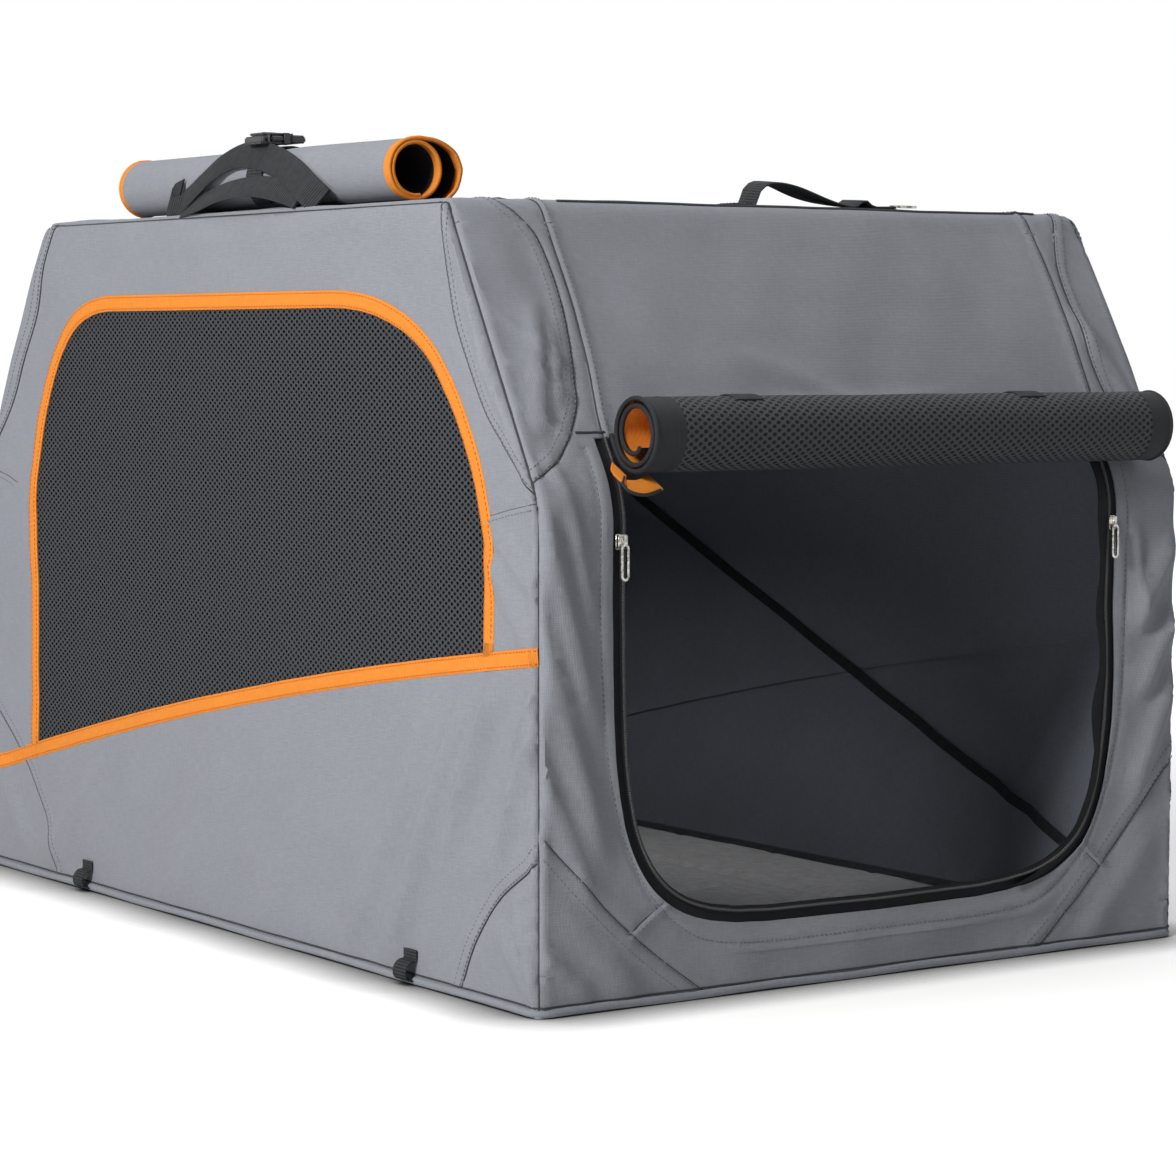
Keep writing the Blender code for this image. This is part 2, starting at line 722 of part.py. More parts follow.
def door_edge():
    """The left half of the door opening's edge in (x, height), from the knee to the middle of the sill."""
    points = [(-DOOR_HALF_WIDTH, KNEE_HEIGHT - KNEE_CUTBACK)]
    for k in range(DOOR_CURVE_STEPS + 1):
        lean = math.pi / 2 * k / DOOR_CURVE_STEPS
        share_down = math.sin(lean) ** (2 / DOOR_CURVE_POWER)
        share_out = math.cos(lean) ** (2 / DOOR_CURVE_POWER)
        if k == DOOR_CURVE_STEPS:
            share_out = 0
        drop = (DOOR_SHOULDER - DOOR_SILL) * share_down
        points.append((-DOOR_HALF_WIDTH * share_out, DOOR_SHOULDER - drop))
    return points


def door_path():
    left = door_edge()
    return left + [(-x, z) for x, z in left[-2::-1]]


def front_lower(cloth, zipper):
    top = KNEE_HEIGHT - KNEE_CUTBACK
    path = door_path()
    outline = [(-PANEL_HALF_WIDTH, top), (-PANEL_HALF_WIDTH, BOOT_TOP + GAP), (PANEL_HALF_WIDTH, BOOT_TOP + GAP),
               (PANEL_HALF_WIDTH, top)] + path[::-1]
    plate("front_lower_panel", outline, 0, CLOTH, upright(FRONT), cloth)
    low = (CLOTH - ZIP_THICKNESS) / 2
    tape = level_ends(shifted(path, GAP), top) + level_ends(shifted(path, GAP + ZIP_WIDTH), top)[::-1]
    plate("door_zip_lower", tape, low, low + ZIP_THICKNESS, upright(FRONT), zipper)


def level_ends(path, height):
    """The path with both ends brought to one height."""
    return [(path[0][0], height), *path[1:-1], (path[-1][0], height)]


def front_upper(cloth, zipper):
    low, top = KNEE_CUTBACK, PANEL_TOP_ALONG
    outline = [(-PANEL_HALF_WIDTH, low), (-DOOR_HALF_WIDTH, low), (-DOOR_HALF_WIDTH, DOOR_TOP_ALONG),
               (DOOR_HALF_WIDTH, DOOR_TOP_ALONG), (DOOR_HALF_WIDTH, low), (PANEL_HALF_WIDTH, low),
               (PANEL_HALF_WIDTH, top), (-PANEL_HALF_WIDTH, top)]
    plate("front_upper_panel", outline, 0, CLOTH, sloped(FRONT), cloth)
    tape_low = (CLOTH - ZIP_THICKNESS) / 2
    for name, sign in SIDES:
        outer = sign * (DOOR_HALF_WIDTH - GAP)
        inner = sign * (DOOR_HALF_WIDTH - GAP - ZIP_WIDTH)
        plate(f"door_zip_upper_{name}", rectangle(outer, inner, low, DOOR_TOP_ALONG - GAP), tape_low,
              tape_low + ZIP_THICKNESS, sloped(FRONT), zipper)


def rear_panels(cloth):
    lower = rectangle(-PANEL_HALF_WIDTH, PANEL_HALF_WIDTH, BOOT_TOP + GAP, KNEE_HEIGHT - KNEE_CUTBACK)
    plate("rear_lower_panel", lower, 0, CLOTH, upright(REAR), cloth)
    upper = rectangle(-PANEL_HALF_WIDTH, PANEL_HALF_WIDTH, KNEE_CUTBACK, PANEL_TOP_ALONG)
    plate("rear_upper_panel", upper, 0, CLOTH, sloped(REAR), cloth)


def knee_strips(cloth):
    """Soft strips that join the panels over each knee and crease when the end folds."""
    def section(side):
        near = [upright_point(side, 0, KNEE_HEIGHT - KNEE_STRIP_SIDE), upright_point(side, 0, KNEE_HEIGHT),
                slope_point(side, 0, KNEE_STRIP_SIDE)]
        inner = [slope_point(side, CLOTH, KNEE_STRIP_SIDE), knee_point(side, CLOTH),
                 upright_point(side, CLOTH, KNEE_HEIGHT - KNEE_STRIP_SIDE)]
        return near + inner

    reach = KNEE_STRIP_HALF_WIDTH - GAP
    for name, sign in SIDES:
        plate(f"front_knee_strip_{name}", section(FRONT), sign * DOOR_HALF_WIDTH, sign * reach, across, cloth)
    plate("rear_knee_strip", section(REAR), -reach, reach, across, cloth)


# Rolled cloth

def spiral(core, outer, turns, cloth):
    """The middle line of rolled cloth, from its core out to its outer end at the bottom of the roll."""
    steps = round(turns * ROLL_STEPS_PER_TURN)
    first, last = core + cloth / 2, outer - cloth / 2
    points = []
    for k in range(steps + 1):
        share = k / steps
        angle = -math.pi / 2 - 2 * math.pi * turns * (1 - share)
        radius = first + (last - first) * share
        points.append((radius * math.cos(angle), radius * math.sin(angle)))
    return points


def tail_after(path, reach):
    """The cloth's flat run after its roll, straight on from under the roll."""
    u, v = path[-1]
    return [(u + reach * share, v) for share in TAIL_SHARES]


def arc_points(radius, from_deg, to_deg, steps):
    return [(radius * math.cos(math.radians(a)), radius * math.sin(math.radians(a)))
            for a in (from_deg + (to_deg - from_deg) * k / steps for k in range(steps + 1))]


def door_roll(mesh_cloth, webbing):
    """The door rolled up under the top of its opening. Its section is in (along, out) on the slope."""
    centre_along = DOOR_TOP_ALONG - DOOR_ROLL_DROP
    centre_out = GAP + DOOR_ROLL_RADIUS
    path = spiral(DOOR_ROLL_CORE, DOOR_ROLL_RADIUS, DOOR_ROLL_TURNS, DOOR_ROLL_CLOTH)
    path += tail_after(path, DOOR_ROLL_TAIL)

    def place(u, v, w):
        y, z = slope_point(FRONT, -(centre_out + v), centre_along + u)
        return w, y, z

    half = DOOR_HALF_WIDTH + DOOR_ROLL_OVERHANG
    plate("door_roll", ribbon(path, DOOR_ROLL_CLOTH), DOOR_ROLL_SHIFT - half, DOOR_ROLL_SHIFT + half, place,
          mesh_cloth)
    inner = DOOR_ROLL_RADIUS + GAP
    over_tail = math.degrees(math.asin((DOOR_ROLL_RADIUS - DOOR_ROLL_CLOTH - GAP) / (inner + WEBBING)))
    band = ribbon(arc_points(inner + WEBBING / 2, -over_tail, STRAP_END_DEG, STRAP_STEPS), WEBBING)
    for name, sign in SIDES:
        x = sign * DOOR_STRAP_PLACE
        plate(f"door_strap_{name}", band, x - WEBBING_WIDTH / 2, x + WEBBING_WIDTH / 2, place, webbing)


def cover_roll(cloth, webbing, plastic):
    """The hatch's cover rolled up along the roof's left edge. Its section is in (x, z)."""
    centre = (-COVER_ROLL_PLACE, HEIGHT + GAP + COVER_ROLL_RADIUS)
    path = spiral(COVER_ROLL_CORE, COVER_ROLL_RADIUS, COVER_ROLL_TURNS, COVER_ROLL_CLOTH)
    path += tail_after(path, COVER_TAIL)

    def place(u, v, w):
        return centre[0] + u, w, centre[1] + v

    y0 = -ROOF_HALF_LENGTH + HATCH_FRONT_INSET
    y1 = ROOF_HALF_LENGTH - HATCH_REAR_INSET
    plate("cover_roll", ribbon(path, COVER_ROLL_CLOTH), y0, y1, place, cloth)
    inner = COVER_ROLL_RADIUS + GAP
    outer = inner + WEBBING
    over_tail = math.degrees(math.asin((COVER_ROLL_RADIUS - COVER_ROLL_CLOTH - GAP) / outer))
    on_roof = 180 + math.degrees(math.asin(COVER_ROLL_RADIUS / outer))
    band = ribbon(arc_points(inner + WEBBING / 2, -over_tail, on_roof, STRAP_STEPS), WEBBING)
    middle = (y0 + y1) / 2
    plate("cover_strap", band, middle - WEBBING_WIDTH / 2, middle + WEBBING_WIDTH / 2, place, webbing)
    buckle(centre[0], middle, centre[1] + outer + GAP, plastic)


def buckle(x, y, z, plastic):
    """A side-release buckle on top of the strap: a socket, and a plug that pulls out towards +X."""
    half = BUCKLE_WIDTH / 2
    socket = box("buckle_socket", (x - BUCKLE_LENGTH, x), (y - half, y + half), (z, z + BUCKLE_HEIGHT), plastic)
    mouth = box("mouth", (x - BUCKLE_LENGTH + BUCKLE_WALL, x + CUT_OVERRUN),
                (y - half + BUCKLE_WALL, y + half - BUCKLE_WALL), (z + BUCKLE_WALL, z + BUCKLE_HEIGHT - BUCKLE_WALL),
                plastic)
    cut(bevelled(socket, BUCKLE_BEVEL), [mouth])
    head = box("buckle_plug", (x + GAP, x + PLUG_HEAD_LENGTH), (y - half, y + half), (z, z + BUCKLE_HEIGHT), plastic)
    reach = half - BUCKLE_WALL - LOOSE_GAP
    tongue = box("tongue", (x - PLUG_TONGUE_LENGTH, x + PLUG_HEAD_LENGTH / 2), (y - reach, y + reach),
                 (z + BUCKLE_WALL + LOOSE_GAP, z + BUCKLE_HEIGHT - BUCKLE_WALL - LOOSE_GAP), plastic)
    unite(bevelled(head, BUCKLE_BEVEL), [tongue])


# Roof

def hatch_outline(inset):
    """The hatch's edge in (x, y), moved inward by an inset."""
    x0, x1 = -HATCH_LEFT + inset, HATCH_RIGHT - inset
    y0 = -ROOF_HALF_LENGTH + HATCH_FRONT_INSET + inset
    y1 = ROOF_HALF_LENGTH - HATCH_REAR_INSET - inset
    return filleted(rectangle(x0, x1, y0, y1), [HATCH_CORNER - inset] * 4)


def roof(cloth, mesh, zipper, steel):
    outline = rectangle(-HALF_WIDTH, HALF_WIDTH, -ROOF_HALF_LENGTH, ROOF_HALF_LENGTH)
    plate("roof_panel", outline, ROOF_UNDERSIDE, HEIGHT, level, cloth, holes=[hatch_outline(0)])
    low = HEIGHT - ZIP_THICKNESS - GAP
    plate("roof_zip", hatch_outline(GAP), low, low + ZIP_THICKNESS, level, zipper,
          holes=[hatch_outline(GAP + ZIP_WIDTH)])
    plate("roof_mesh", hatch_outline(2 * GAP + ZIP_WIDTH), low, low + MESH_THICKNESS, level, mesh)
    front = slope_point(FRONT, TUBE_DEPTH, TOP_ALONG)
    rear = slope_point(REAR, TUBE_DEPTH, TOP_ALONG)
    wall = (HOOK_BORE + HOOK_RADIUS) / 2
    for name, sign in SIDES:
        x = sign * ROOF_RAIL_PLACE
        end = rear[0] - TUBE_RADIUS - ROOF_RAIL_REAR_CLEARANCE
        rail = cylinder(f"roof_rail_{name}", (x, front[0] + wall, front[1]), (x, end, front[1]),
                        ROOF_RAIL_RADIUS, steel)
        arc = ribbon(arc_points(wall, ROOF_HOOK_LOW_DEG, ROOF_HOOK_HIGH_DEG, TUBE_SIDES), ROOF_HOOK_WALL)
        clip = plate("clip", [(front[0] + u, front[1] + v) for u, v in arc], x - ROOF_HOOK_WIDTH / 2,
                     x + ROOF_HOOK_WIDTH / 2, across, steel)
        frame_tube(rail, [clip], [bore("bore", x, *front, HOOK_BORE, steel)])


def roof_handle(webbing):
    """A flat webbing handle, sewn down at both ends, in a low arch that leans to the left between them."""
    half = HANDLE_SPAN / 2
    foot = HEIGHT + GAP + HANDLE_THICKNESS / 2
    arch = []
    for k in range(HANDLE_STEPS + 1):
        t = k / HANDLE_STEPS
        rise = HANDLE_RISE * math.sin(math.pi * t ** HANDLE_LEAN_SHARE) ** 2
        arch.append((-half + HANDLE_SPAN * t, foot + rise))
    path = [(-half - HANDLE_TAB, foot), *arch, (half + HANDLE_TAB, foot)]
    y = -ROOF_HALF_LENGTH + HANDLE_SETBACK
    outline = [(u + HANDLE_PLACE, v) for u, v in ribbon(path, HANDLE_THICKNESS)]
    plate("roof_handle", outline, y - WEBBING_WIDTH / 2, y + WEBBING_WIDTH / 2, lambda u, v, w: (u, w, v),
          webbing)


# Zip sliders

def slider(name, centre, place, steel):
    """A slider on a zip, laid out by place(across, along the zip, out)."""
    half_w, half_l = SLIDER_WIDTH / 2, SLIDER_LENGTH / 2
    u, v, w = centre
    outline = rectangle(u - half_w, u + half_w, v - half_l, v + half_l)
    thing = plate(name, outline, w, w + SLIDER_HEIGHT, place, steel)
    return bevelled(thing, SLIDER_BEVEL)


def pull(name, hinge, place, steel):
    """A wire pull: a long closed ring that hangs from the slider by its end bar."""
    u, v, w = hinge
    radius = PULL_WIDTH / 2 - PULL_WIRE_RADIUS
    near = v - radius
    far = v - PULL_LENGTH + radius
    ring = [(u + a, near + b) for a, b in arc_points(radius, 0, 180, BEND_STEPS)]
    ring += [(u + a, far + b) for a, b in arc_points(radius, 180, 360, BEND_STEPS)]
    outer = shifted(ring, -PULL_WIRE_RADIUS, closed=True)
    inner = shifted(ring, PULL_WIRE_RADIUS, closed=True)
    return plate(name, outer, w, w + 2 * PULL_WIRE_RADIUS, place, steel, holes=[inner])


def outward(u, v, w):
    """A point at (x, height) on the front end's upright face, at a distance out from it."""
    y, z = upright_point(FRONT, -w, v)
    return u, y, z


def along_roof(u, v, w):
    """A point on the front run of the hatch's zip, which goes back along -X."""
    return -v, -ROOF_HALF_LENGTH + HATCH_FRONT_INSET + GAP + ZIP_WIDTH / 2 + u, w


def door_slider_height():
    return KNEE_HEIGHT - KNEE_CUTBACK - SLIDER_LENGTH / 2 - DOOR_SLIDER_DROP


def door_slider_foot():
    """How far out from the panel's face a door slider starts."""
    return GAP - (CLOTH - ZIP_THICKNESS) / 2


def door_pull_hinges():
    """Where each door pull turns, by side."""
    height = door_slider_height() - PULL_HINGE_SETBACK
    out = door_slider_foot() + SLIDER_HEIGHT + LOOSE_GAP + PULL_WIRE_RADIUS
    reach = DOOR_HALF_WIDTH - GAP - ZIP_WIDTH / 2
    return {name: outward(sign * reach, height, out) for name, sign in SIDES}


def roof_pull_hinge():
    """Where the roof pull turns."""
    height = HEIGHT + SLIDER_HEIGHT + LOOSE_GAP + PULL_WIRE_RADIUS
    return along_roof(0, -ROOF_SLIDER_PLACE - PULL_HINGE_SETBACK, height)


def door_sliders(steel):
    """Sliders near the top of the door's lower zip, one on each side, with their pulls hanging down."""
    height = door_slider_height()
    out = door_slider_foot()
    hinge_out = out + SLIDER_HEIGHT + LOOSE_GAP
    for name, sign in SIDES:
        x = sign * (DOOR_HALF_WIDTH - GAP - ZIP_WIDTH / 2)
        slider(f"door_slider_{name}", (x, height, out), outward, steel)
        pull(f"door_pull_{name}", (x, height - PULL_HINGE_SETBACK, hinge_out), outward, steel)


def roof_slider(steel):
    """The slider on the front run of the hatch's zip. Its pull lies flat towards the right."""
    hinge_along = -ROOF_SLIDER_PLACE - PULL_HINGE_SETBACK
    slider("roof_slider", (0, -ROOF_SLIDER_PLACE, HEIGHT), along_roof, steel)
    pull("roof_pull", (0, hinge_along, HEIGHT + SLIDER_HEIGHT + LOOSE_GAP), along_roof, steel)


# Joints

def pivot(name, point, pieces, parent=None):
    """An empty on a joint's axis that carries the pieces moving about it."""
    empty = bpy.data.objects.new(name, None)
    bpy.context.scene.collection.objects.link(empty)
    empty.location = point
    riders = [bpy.data.objects[piece] for piece in pieces]
    for rider in riders:
        rider.parent = empty
        rider.matrix_parent_inverse = Matrix.Translation(-empty.location)
    if parent is not None:
        empty.parent = parent
        empty.matrix_parent_inverse = Matrix.Translation(-parent.location)
    return empty


def both(name):
    return [f"{name}_{side}" for side, sign in SIDES]


def pivots():
    knee = {side: (0, *knee_point(side, KNEE_DEPTH)) for side in (FRONT, REAR)}
    foot = {side: (0, *upright_point(side, TUBE_DEPTH, PIVOT_HEIGHT)) for side in (FRONT, REAR)}
    top = (0, *slope_point(FRONT, TUBE_DEPTH, TOP_ALONG))
    front_lower_pivot = pivot("front_fold", foot[FRONT], ["front_lower_panel", "door_zip_lower", *both("front_leg"),
                                                          *both("front_knee_strip")])
    front_upper_pivot = pivot("front_knee", knee[FRONT], ["front_upper_hoop", "front_upper_panel", "door_roll",
                                                          *both("door_zip_upper"), *both("door_strap")],
                              front_lower_pivot)
    roof_pivot = pivot("roof_hinge", top, ["roof_panel", "roof_mesh", "roof_zip", *both("roof_rail"), "cover_roll",
                                           "cover_strap", "buckle_socket", "roof_handle"], front_upper_pivot)
    rear_lower_pivot = pivot("rear_fold", foot[REAR], ["rear_lower_panel", *both("rear_leg"), "rear_knee_strip"])
    pivot("rear_knee", knee[REAR], ["rear_upper_hoop", "rear_upper_panel"], rear_lower_pivot)
    for name, hinge in door_pull_hinges().items():
        slide = pivot(f"{name}_door_zip_slide", hinge, [f"door_slider_{name}"], front_lower_pivot)
        pivot(f"{name}_door_pull_swing", hinge, [f"door_pull_{name}"], slide)
    slide = pivot("roof_zip_slide", roof_pull_hinge(), ["roof_slider"], roof_pivot)
    pivot("roof_pull_swing", roof_pull_hinge(), ["roof_pull"], slide)
    pivot("buckle_release", (-COVER_ROLL_PLACE, 0, HEIGHT), ["buckle_plug"], roof_pivot)


def main():
    clear_scene()
    cloth = principled("grey_cloth", (0.25, 0.26, 0.29), 0.85)
    door_mesh = principled("black_mesh", (0.030, 0.030, 0.034), 0.8)
    window_mesh = principled("window_mesh", (0.045, 0.047, 0.052), 0.8)
    binding = principled("orange_binding", (0.95, 0.32, 0.03), 0.7)
    webbing = principled("black_webbing", (0.030, 0.031, 0.034), 0.75)
    zipper = principled("black_zip", (0.020, 0.020, 0.022), 0.6)
    plastic = principled("black_plastic", (0.020, 0.020, 0.022), 0.4)
    nickel = principled("nickel", (0.72, 0.70, 0.66), 0.25, metallic=1.0)
    steel = principled("painted_steel", (0.10, 0.10, 0.11), 0.4, metallic=0.6)
    pad = principled("mat_cloth", (0.55, 0.56, 0.58), 0.9)
    floor_and_hems(cloth)
    base_frame(steel)
    floor_mat(pad)
    side_walls(cloth, window_mesh, binding)
    brace_tapes(webbing)
    tie_loops(webbing)
    legs(FRONT, "front", steel)
    legs(REAR, "rear", steel)
    hoop(FRONT, "front", steel)
    hoop(REAR, "rear", steel)
    front_lower(cloth, zipper)
    front_upper(cloth, zipper)
    rear_panels(cloth)
    knee_strips(cloth)
    door_roll(door_mesh, webbing)
    cover_roll(cloth, webbing, plastic)
    roof(cloth, window_mesh, zipper, steel)
    roof_handle(webbing)
    door_sliders(nickel)
    roof_slider(nickel)
    pivots()


main()
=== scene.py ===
"""Dresses the soft folding dog crate: its cloth skin, mesh windows, zips, rolls, webbing and mat, in a plain studio."""

import json
import math

import bmesh
import bpy
import numpy as np
from mathutils import Vector
from mathutils.geometry import delaunay_2d_cdt
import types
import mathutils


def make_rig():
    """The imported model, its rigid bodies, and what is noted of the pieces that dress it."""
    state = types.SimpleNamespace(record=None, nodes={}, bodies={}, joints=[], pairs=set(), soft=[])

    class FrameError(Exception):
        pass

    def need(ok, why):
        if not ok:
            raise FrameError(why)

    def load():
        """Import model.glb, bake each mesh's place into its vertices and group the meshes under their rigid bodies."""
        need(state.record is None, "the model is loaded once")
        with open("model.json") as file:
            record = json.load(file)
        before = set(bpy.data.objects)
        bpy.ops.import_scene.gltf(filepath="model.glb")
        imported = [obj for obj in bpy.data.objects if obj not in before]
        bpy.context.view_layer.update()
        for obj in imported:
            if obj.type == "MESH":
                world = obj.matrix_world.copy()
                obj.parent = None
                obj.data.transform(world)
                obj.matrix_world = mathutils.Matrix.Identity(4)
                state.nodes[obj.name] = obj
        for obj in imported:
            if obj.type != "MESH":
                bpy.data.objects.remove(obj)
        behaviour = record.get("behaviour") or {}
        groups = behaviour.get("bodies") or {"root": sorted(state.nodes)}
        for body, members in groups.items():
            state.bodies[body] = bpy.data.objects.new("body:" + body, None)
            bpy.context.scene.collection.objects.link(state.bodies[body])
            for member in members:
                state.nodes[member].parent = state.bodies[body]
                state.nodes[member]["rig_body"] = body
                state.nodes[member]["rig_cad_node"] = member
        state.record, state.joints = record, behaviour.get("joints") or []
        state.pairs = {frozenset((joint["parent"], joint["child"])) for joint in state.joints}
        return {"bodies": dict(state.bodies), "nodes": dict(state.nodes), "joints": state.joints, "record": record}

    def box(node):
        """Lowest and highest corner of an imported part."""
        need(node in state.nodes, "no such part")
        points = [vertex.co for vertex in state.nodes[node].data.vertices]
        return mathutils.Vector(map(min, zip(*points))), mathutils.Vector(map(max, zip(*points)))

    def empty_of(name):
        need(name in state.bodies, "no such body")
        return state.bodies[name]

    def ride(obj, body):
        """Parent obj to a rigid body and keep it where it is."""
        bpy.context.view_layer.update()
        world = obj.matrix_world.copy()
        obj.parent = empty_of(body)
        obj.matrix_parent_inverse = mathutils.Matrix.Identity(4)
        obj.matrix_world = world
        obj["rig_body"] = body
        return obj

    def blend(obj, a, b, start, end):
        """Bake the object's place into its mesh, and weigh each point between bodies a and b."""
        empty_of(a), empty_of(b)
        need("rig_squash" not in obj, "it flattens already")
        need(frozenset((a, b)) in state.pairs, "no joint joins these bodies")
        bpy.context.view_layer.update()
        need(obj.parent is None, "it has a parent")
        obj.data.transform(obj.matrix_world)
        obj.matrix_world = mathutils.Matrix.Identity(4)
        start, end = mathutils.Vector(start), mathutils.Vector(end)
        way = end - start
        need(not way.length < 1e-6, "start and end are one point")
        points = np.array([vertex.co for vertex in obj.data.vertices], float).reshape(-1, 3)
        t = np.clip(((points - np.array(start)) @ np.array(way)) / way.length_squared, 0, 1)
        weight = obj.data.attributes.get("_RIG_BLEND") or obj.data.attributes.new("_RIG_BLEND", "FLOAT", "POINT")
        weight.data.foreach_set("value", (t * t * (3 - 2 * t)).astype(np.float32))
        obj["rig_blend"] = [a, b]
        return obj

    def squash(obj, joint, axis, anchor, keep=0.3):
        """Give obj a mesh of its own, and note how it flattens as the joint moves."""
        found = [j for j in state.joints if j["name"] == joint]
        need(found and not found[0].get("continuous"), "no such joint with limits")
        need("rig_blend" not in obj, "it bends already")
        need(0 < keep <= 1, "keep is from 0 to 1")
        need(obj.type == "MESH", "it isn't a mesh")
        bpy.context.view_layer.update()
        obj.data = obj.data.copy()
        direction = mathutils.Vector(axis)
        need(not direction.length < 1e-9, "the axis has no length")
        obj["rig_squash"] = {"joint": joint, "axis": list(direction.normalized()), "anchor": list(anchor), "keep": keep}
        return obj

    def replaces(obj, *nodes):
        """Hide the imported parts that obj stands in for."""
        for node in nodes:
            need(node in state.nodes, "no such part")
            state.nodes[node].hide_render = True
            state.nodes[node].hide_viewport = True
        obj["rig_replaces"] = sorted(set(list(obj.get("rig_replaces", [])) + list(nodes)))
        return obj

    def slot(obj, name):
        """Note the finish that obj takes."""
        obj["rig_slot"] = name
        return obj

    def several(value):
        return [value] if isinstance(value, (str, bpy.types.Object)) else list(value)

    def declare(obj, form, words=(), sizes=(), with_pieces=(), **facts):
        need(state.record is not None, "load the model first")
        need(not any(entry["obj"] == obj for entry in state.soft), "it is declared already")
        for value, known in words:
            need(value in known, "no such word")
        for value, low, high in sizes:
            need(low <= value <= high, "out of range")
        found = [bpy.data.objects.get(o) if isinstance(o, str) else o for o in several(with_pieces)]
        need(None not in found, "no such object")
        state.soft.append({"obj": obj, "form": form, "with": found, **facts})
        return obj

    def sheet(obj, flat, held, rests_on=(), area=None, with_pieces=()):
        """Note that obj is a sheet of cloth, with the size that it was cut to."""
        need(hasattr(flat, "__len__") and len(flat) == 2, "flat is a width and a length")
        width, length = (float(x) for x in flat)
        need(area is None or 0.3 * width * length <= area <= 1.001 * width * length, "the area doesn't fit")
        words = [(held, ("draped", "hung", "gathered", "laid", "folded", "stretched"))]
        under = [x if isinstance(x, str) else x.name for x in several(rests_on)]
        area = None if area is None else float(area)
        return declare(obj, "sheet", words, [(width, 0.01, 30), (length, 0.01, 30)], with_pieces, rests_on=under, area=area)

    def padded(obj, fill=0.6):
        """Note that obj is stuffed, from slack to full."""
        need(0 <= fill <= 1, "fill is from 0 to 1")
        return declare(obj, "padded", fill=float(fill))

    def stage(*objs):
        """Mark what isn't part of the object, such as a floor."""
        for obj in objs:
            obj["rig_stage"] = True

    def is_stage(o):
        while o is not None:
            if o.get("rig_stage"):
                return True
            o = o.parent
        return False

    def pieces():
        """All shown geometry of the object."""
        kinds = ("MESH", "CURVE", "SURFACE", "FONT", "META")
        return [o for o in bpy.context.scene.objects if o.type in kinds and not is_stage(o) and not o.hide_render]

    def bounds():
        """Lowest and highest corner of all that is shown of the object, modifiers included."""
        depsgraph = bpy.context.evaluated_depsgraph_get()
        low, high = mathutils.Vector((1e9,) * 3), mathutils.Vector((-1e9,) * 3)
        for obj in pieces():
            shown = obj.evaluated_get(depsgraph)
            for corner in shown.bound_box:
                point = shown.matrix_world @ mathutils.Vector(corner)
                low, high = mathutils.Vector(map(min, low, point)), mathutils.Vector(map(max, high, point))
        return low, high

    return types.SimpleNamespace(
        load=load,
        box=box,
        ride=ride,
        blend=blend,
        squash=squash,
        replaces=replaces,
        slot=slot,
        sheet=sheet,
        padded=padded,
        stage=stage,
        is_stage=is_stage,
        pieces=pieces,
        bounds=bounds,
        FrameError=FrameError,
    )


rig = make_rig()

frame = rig.load()
CAD_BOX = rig.bounds()

# Camera, from a perspective fit of the photograph
CAMERA_PLACE = (-1.6385, -2.4506, 0.4743)
CAMERA_YAW_DEG = 34.52
CAMERA_PITCH_DEG = 4.04
CAMERA_LENS_MM = 105.9
SENSOR_MM = 36.0

# The crate's own size, from the frame
HALF_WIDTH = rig.box("floor_panel")[1].x
HALF_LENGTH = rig.box("floor_panel")[1].y
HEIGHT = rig.box("roof_panel")[1].z
ROOF_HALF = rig.box("roof_panel")[1].y
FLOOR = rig.box("floor_panel")[1].z
KNEE = 0.364
RISE = HEIGHT - KNEE
SLOPE_DEPTH = HALF_LENGTH - ROOF_HALF
SLOPE = math.hypot(SLOPE_DEPTH, RISE)
TOP_EDGE = KNEE + SLOPE

# How round the skin's edges are, and how thick and fine its cloth is
KNEE_ROUND = 0.010
TOP_ROUND = 0.010
SIDE_ROUND = 0.007
SHOULDER_ROUND = 0.016
CLOTH = 0.0012
NET = 0.0008
GRID = 0.0075

# Door opening
DOOR_HALF = 0.241
DOOR_SILL = 0.050
DOOR_SHOULDER = KNEE - 0.028
DOOR_TOP = KNEE + 0.0497
DOOR_POWER = 5.0

# Side window
WINDOW_FRONT = 0.069 - HALF_LENGTH
WINDOW_REAR = HALF_LENGTH - 0.0994
WINDOW_TOP = HEIGHT - 0.0783
WINDOW_SHOULDER_DROP = 0.170
WINDOW_FRONT_SILL = 0.254
WINDOW_REAR_SILL = 0.121
SILL_BOW = 0.010
ARCH_START = 0.285 - HALF_LENGTH
ARCH_END = HALF_LENGTH - 0.2465
ARCH_PULL_SHARE = 0.62
ARCH_LEAN_SHARE = 0.12
BINDING = 0.013

STRAP_WIDTH = 0.025
STRAP_THICKNESS = 0.0015
SEAT_GAP = 0.0003

FOOT_SEAM = 0.0078

# Sewn stitches, and the step along a seam's, a tape's and a zip's line
STITCH_PITCH = 0.0042
STITCH_LENGTH = 0.0028
STITCH_RADIUS = 0.00042
SEAM_STEP = 0.004
TAPE_STEP = 0.006
ZIP_STEP = 0.005

SIDES = (("left", -1), ("right", 1))


# The crate's rounded skin

def smooth_step(t):
    t = np.clip(t, 0, 1)
    return t * t * (3 - 2 * t)


def smooth_max(a, b, k):
    h = np.clip(0.5 + 0.5 * (a - b) / k, 0, 1)
    return b + (a - b) * h + k * h * (1 - h)


def unit(vectors):
    """Rows of vectors, each brought to a length of one."""
    return vectors / np.linalg.norm(vectors, axis=1, keepdims=True)


def outside(p):
    """How far points lie outside the crate's skin, with its edges rounded. It is below zero inside."""
    x, y, z = p.T
    end = np.abs(y) - HALF_LENGTH
    sloped = (end * RISE + (z - KNEE) * SLOPE_DEPTH) / SLOPE
    top = smooth_max(smooth_max(end, sloped, KNEE_ROUND), z - HEIGHT, TOP_ROUND)
    shoulder = smooth_step((z - HEIGHT + 0.08) / 0.08)
    return smooth_max(top, np.abs(x) - HALF_WIDTH, SIDE_ROUND + (SHOULDER_ROUND - SIDE_ROUND) * shoulder)


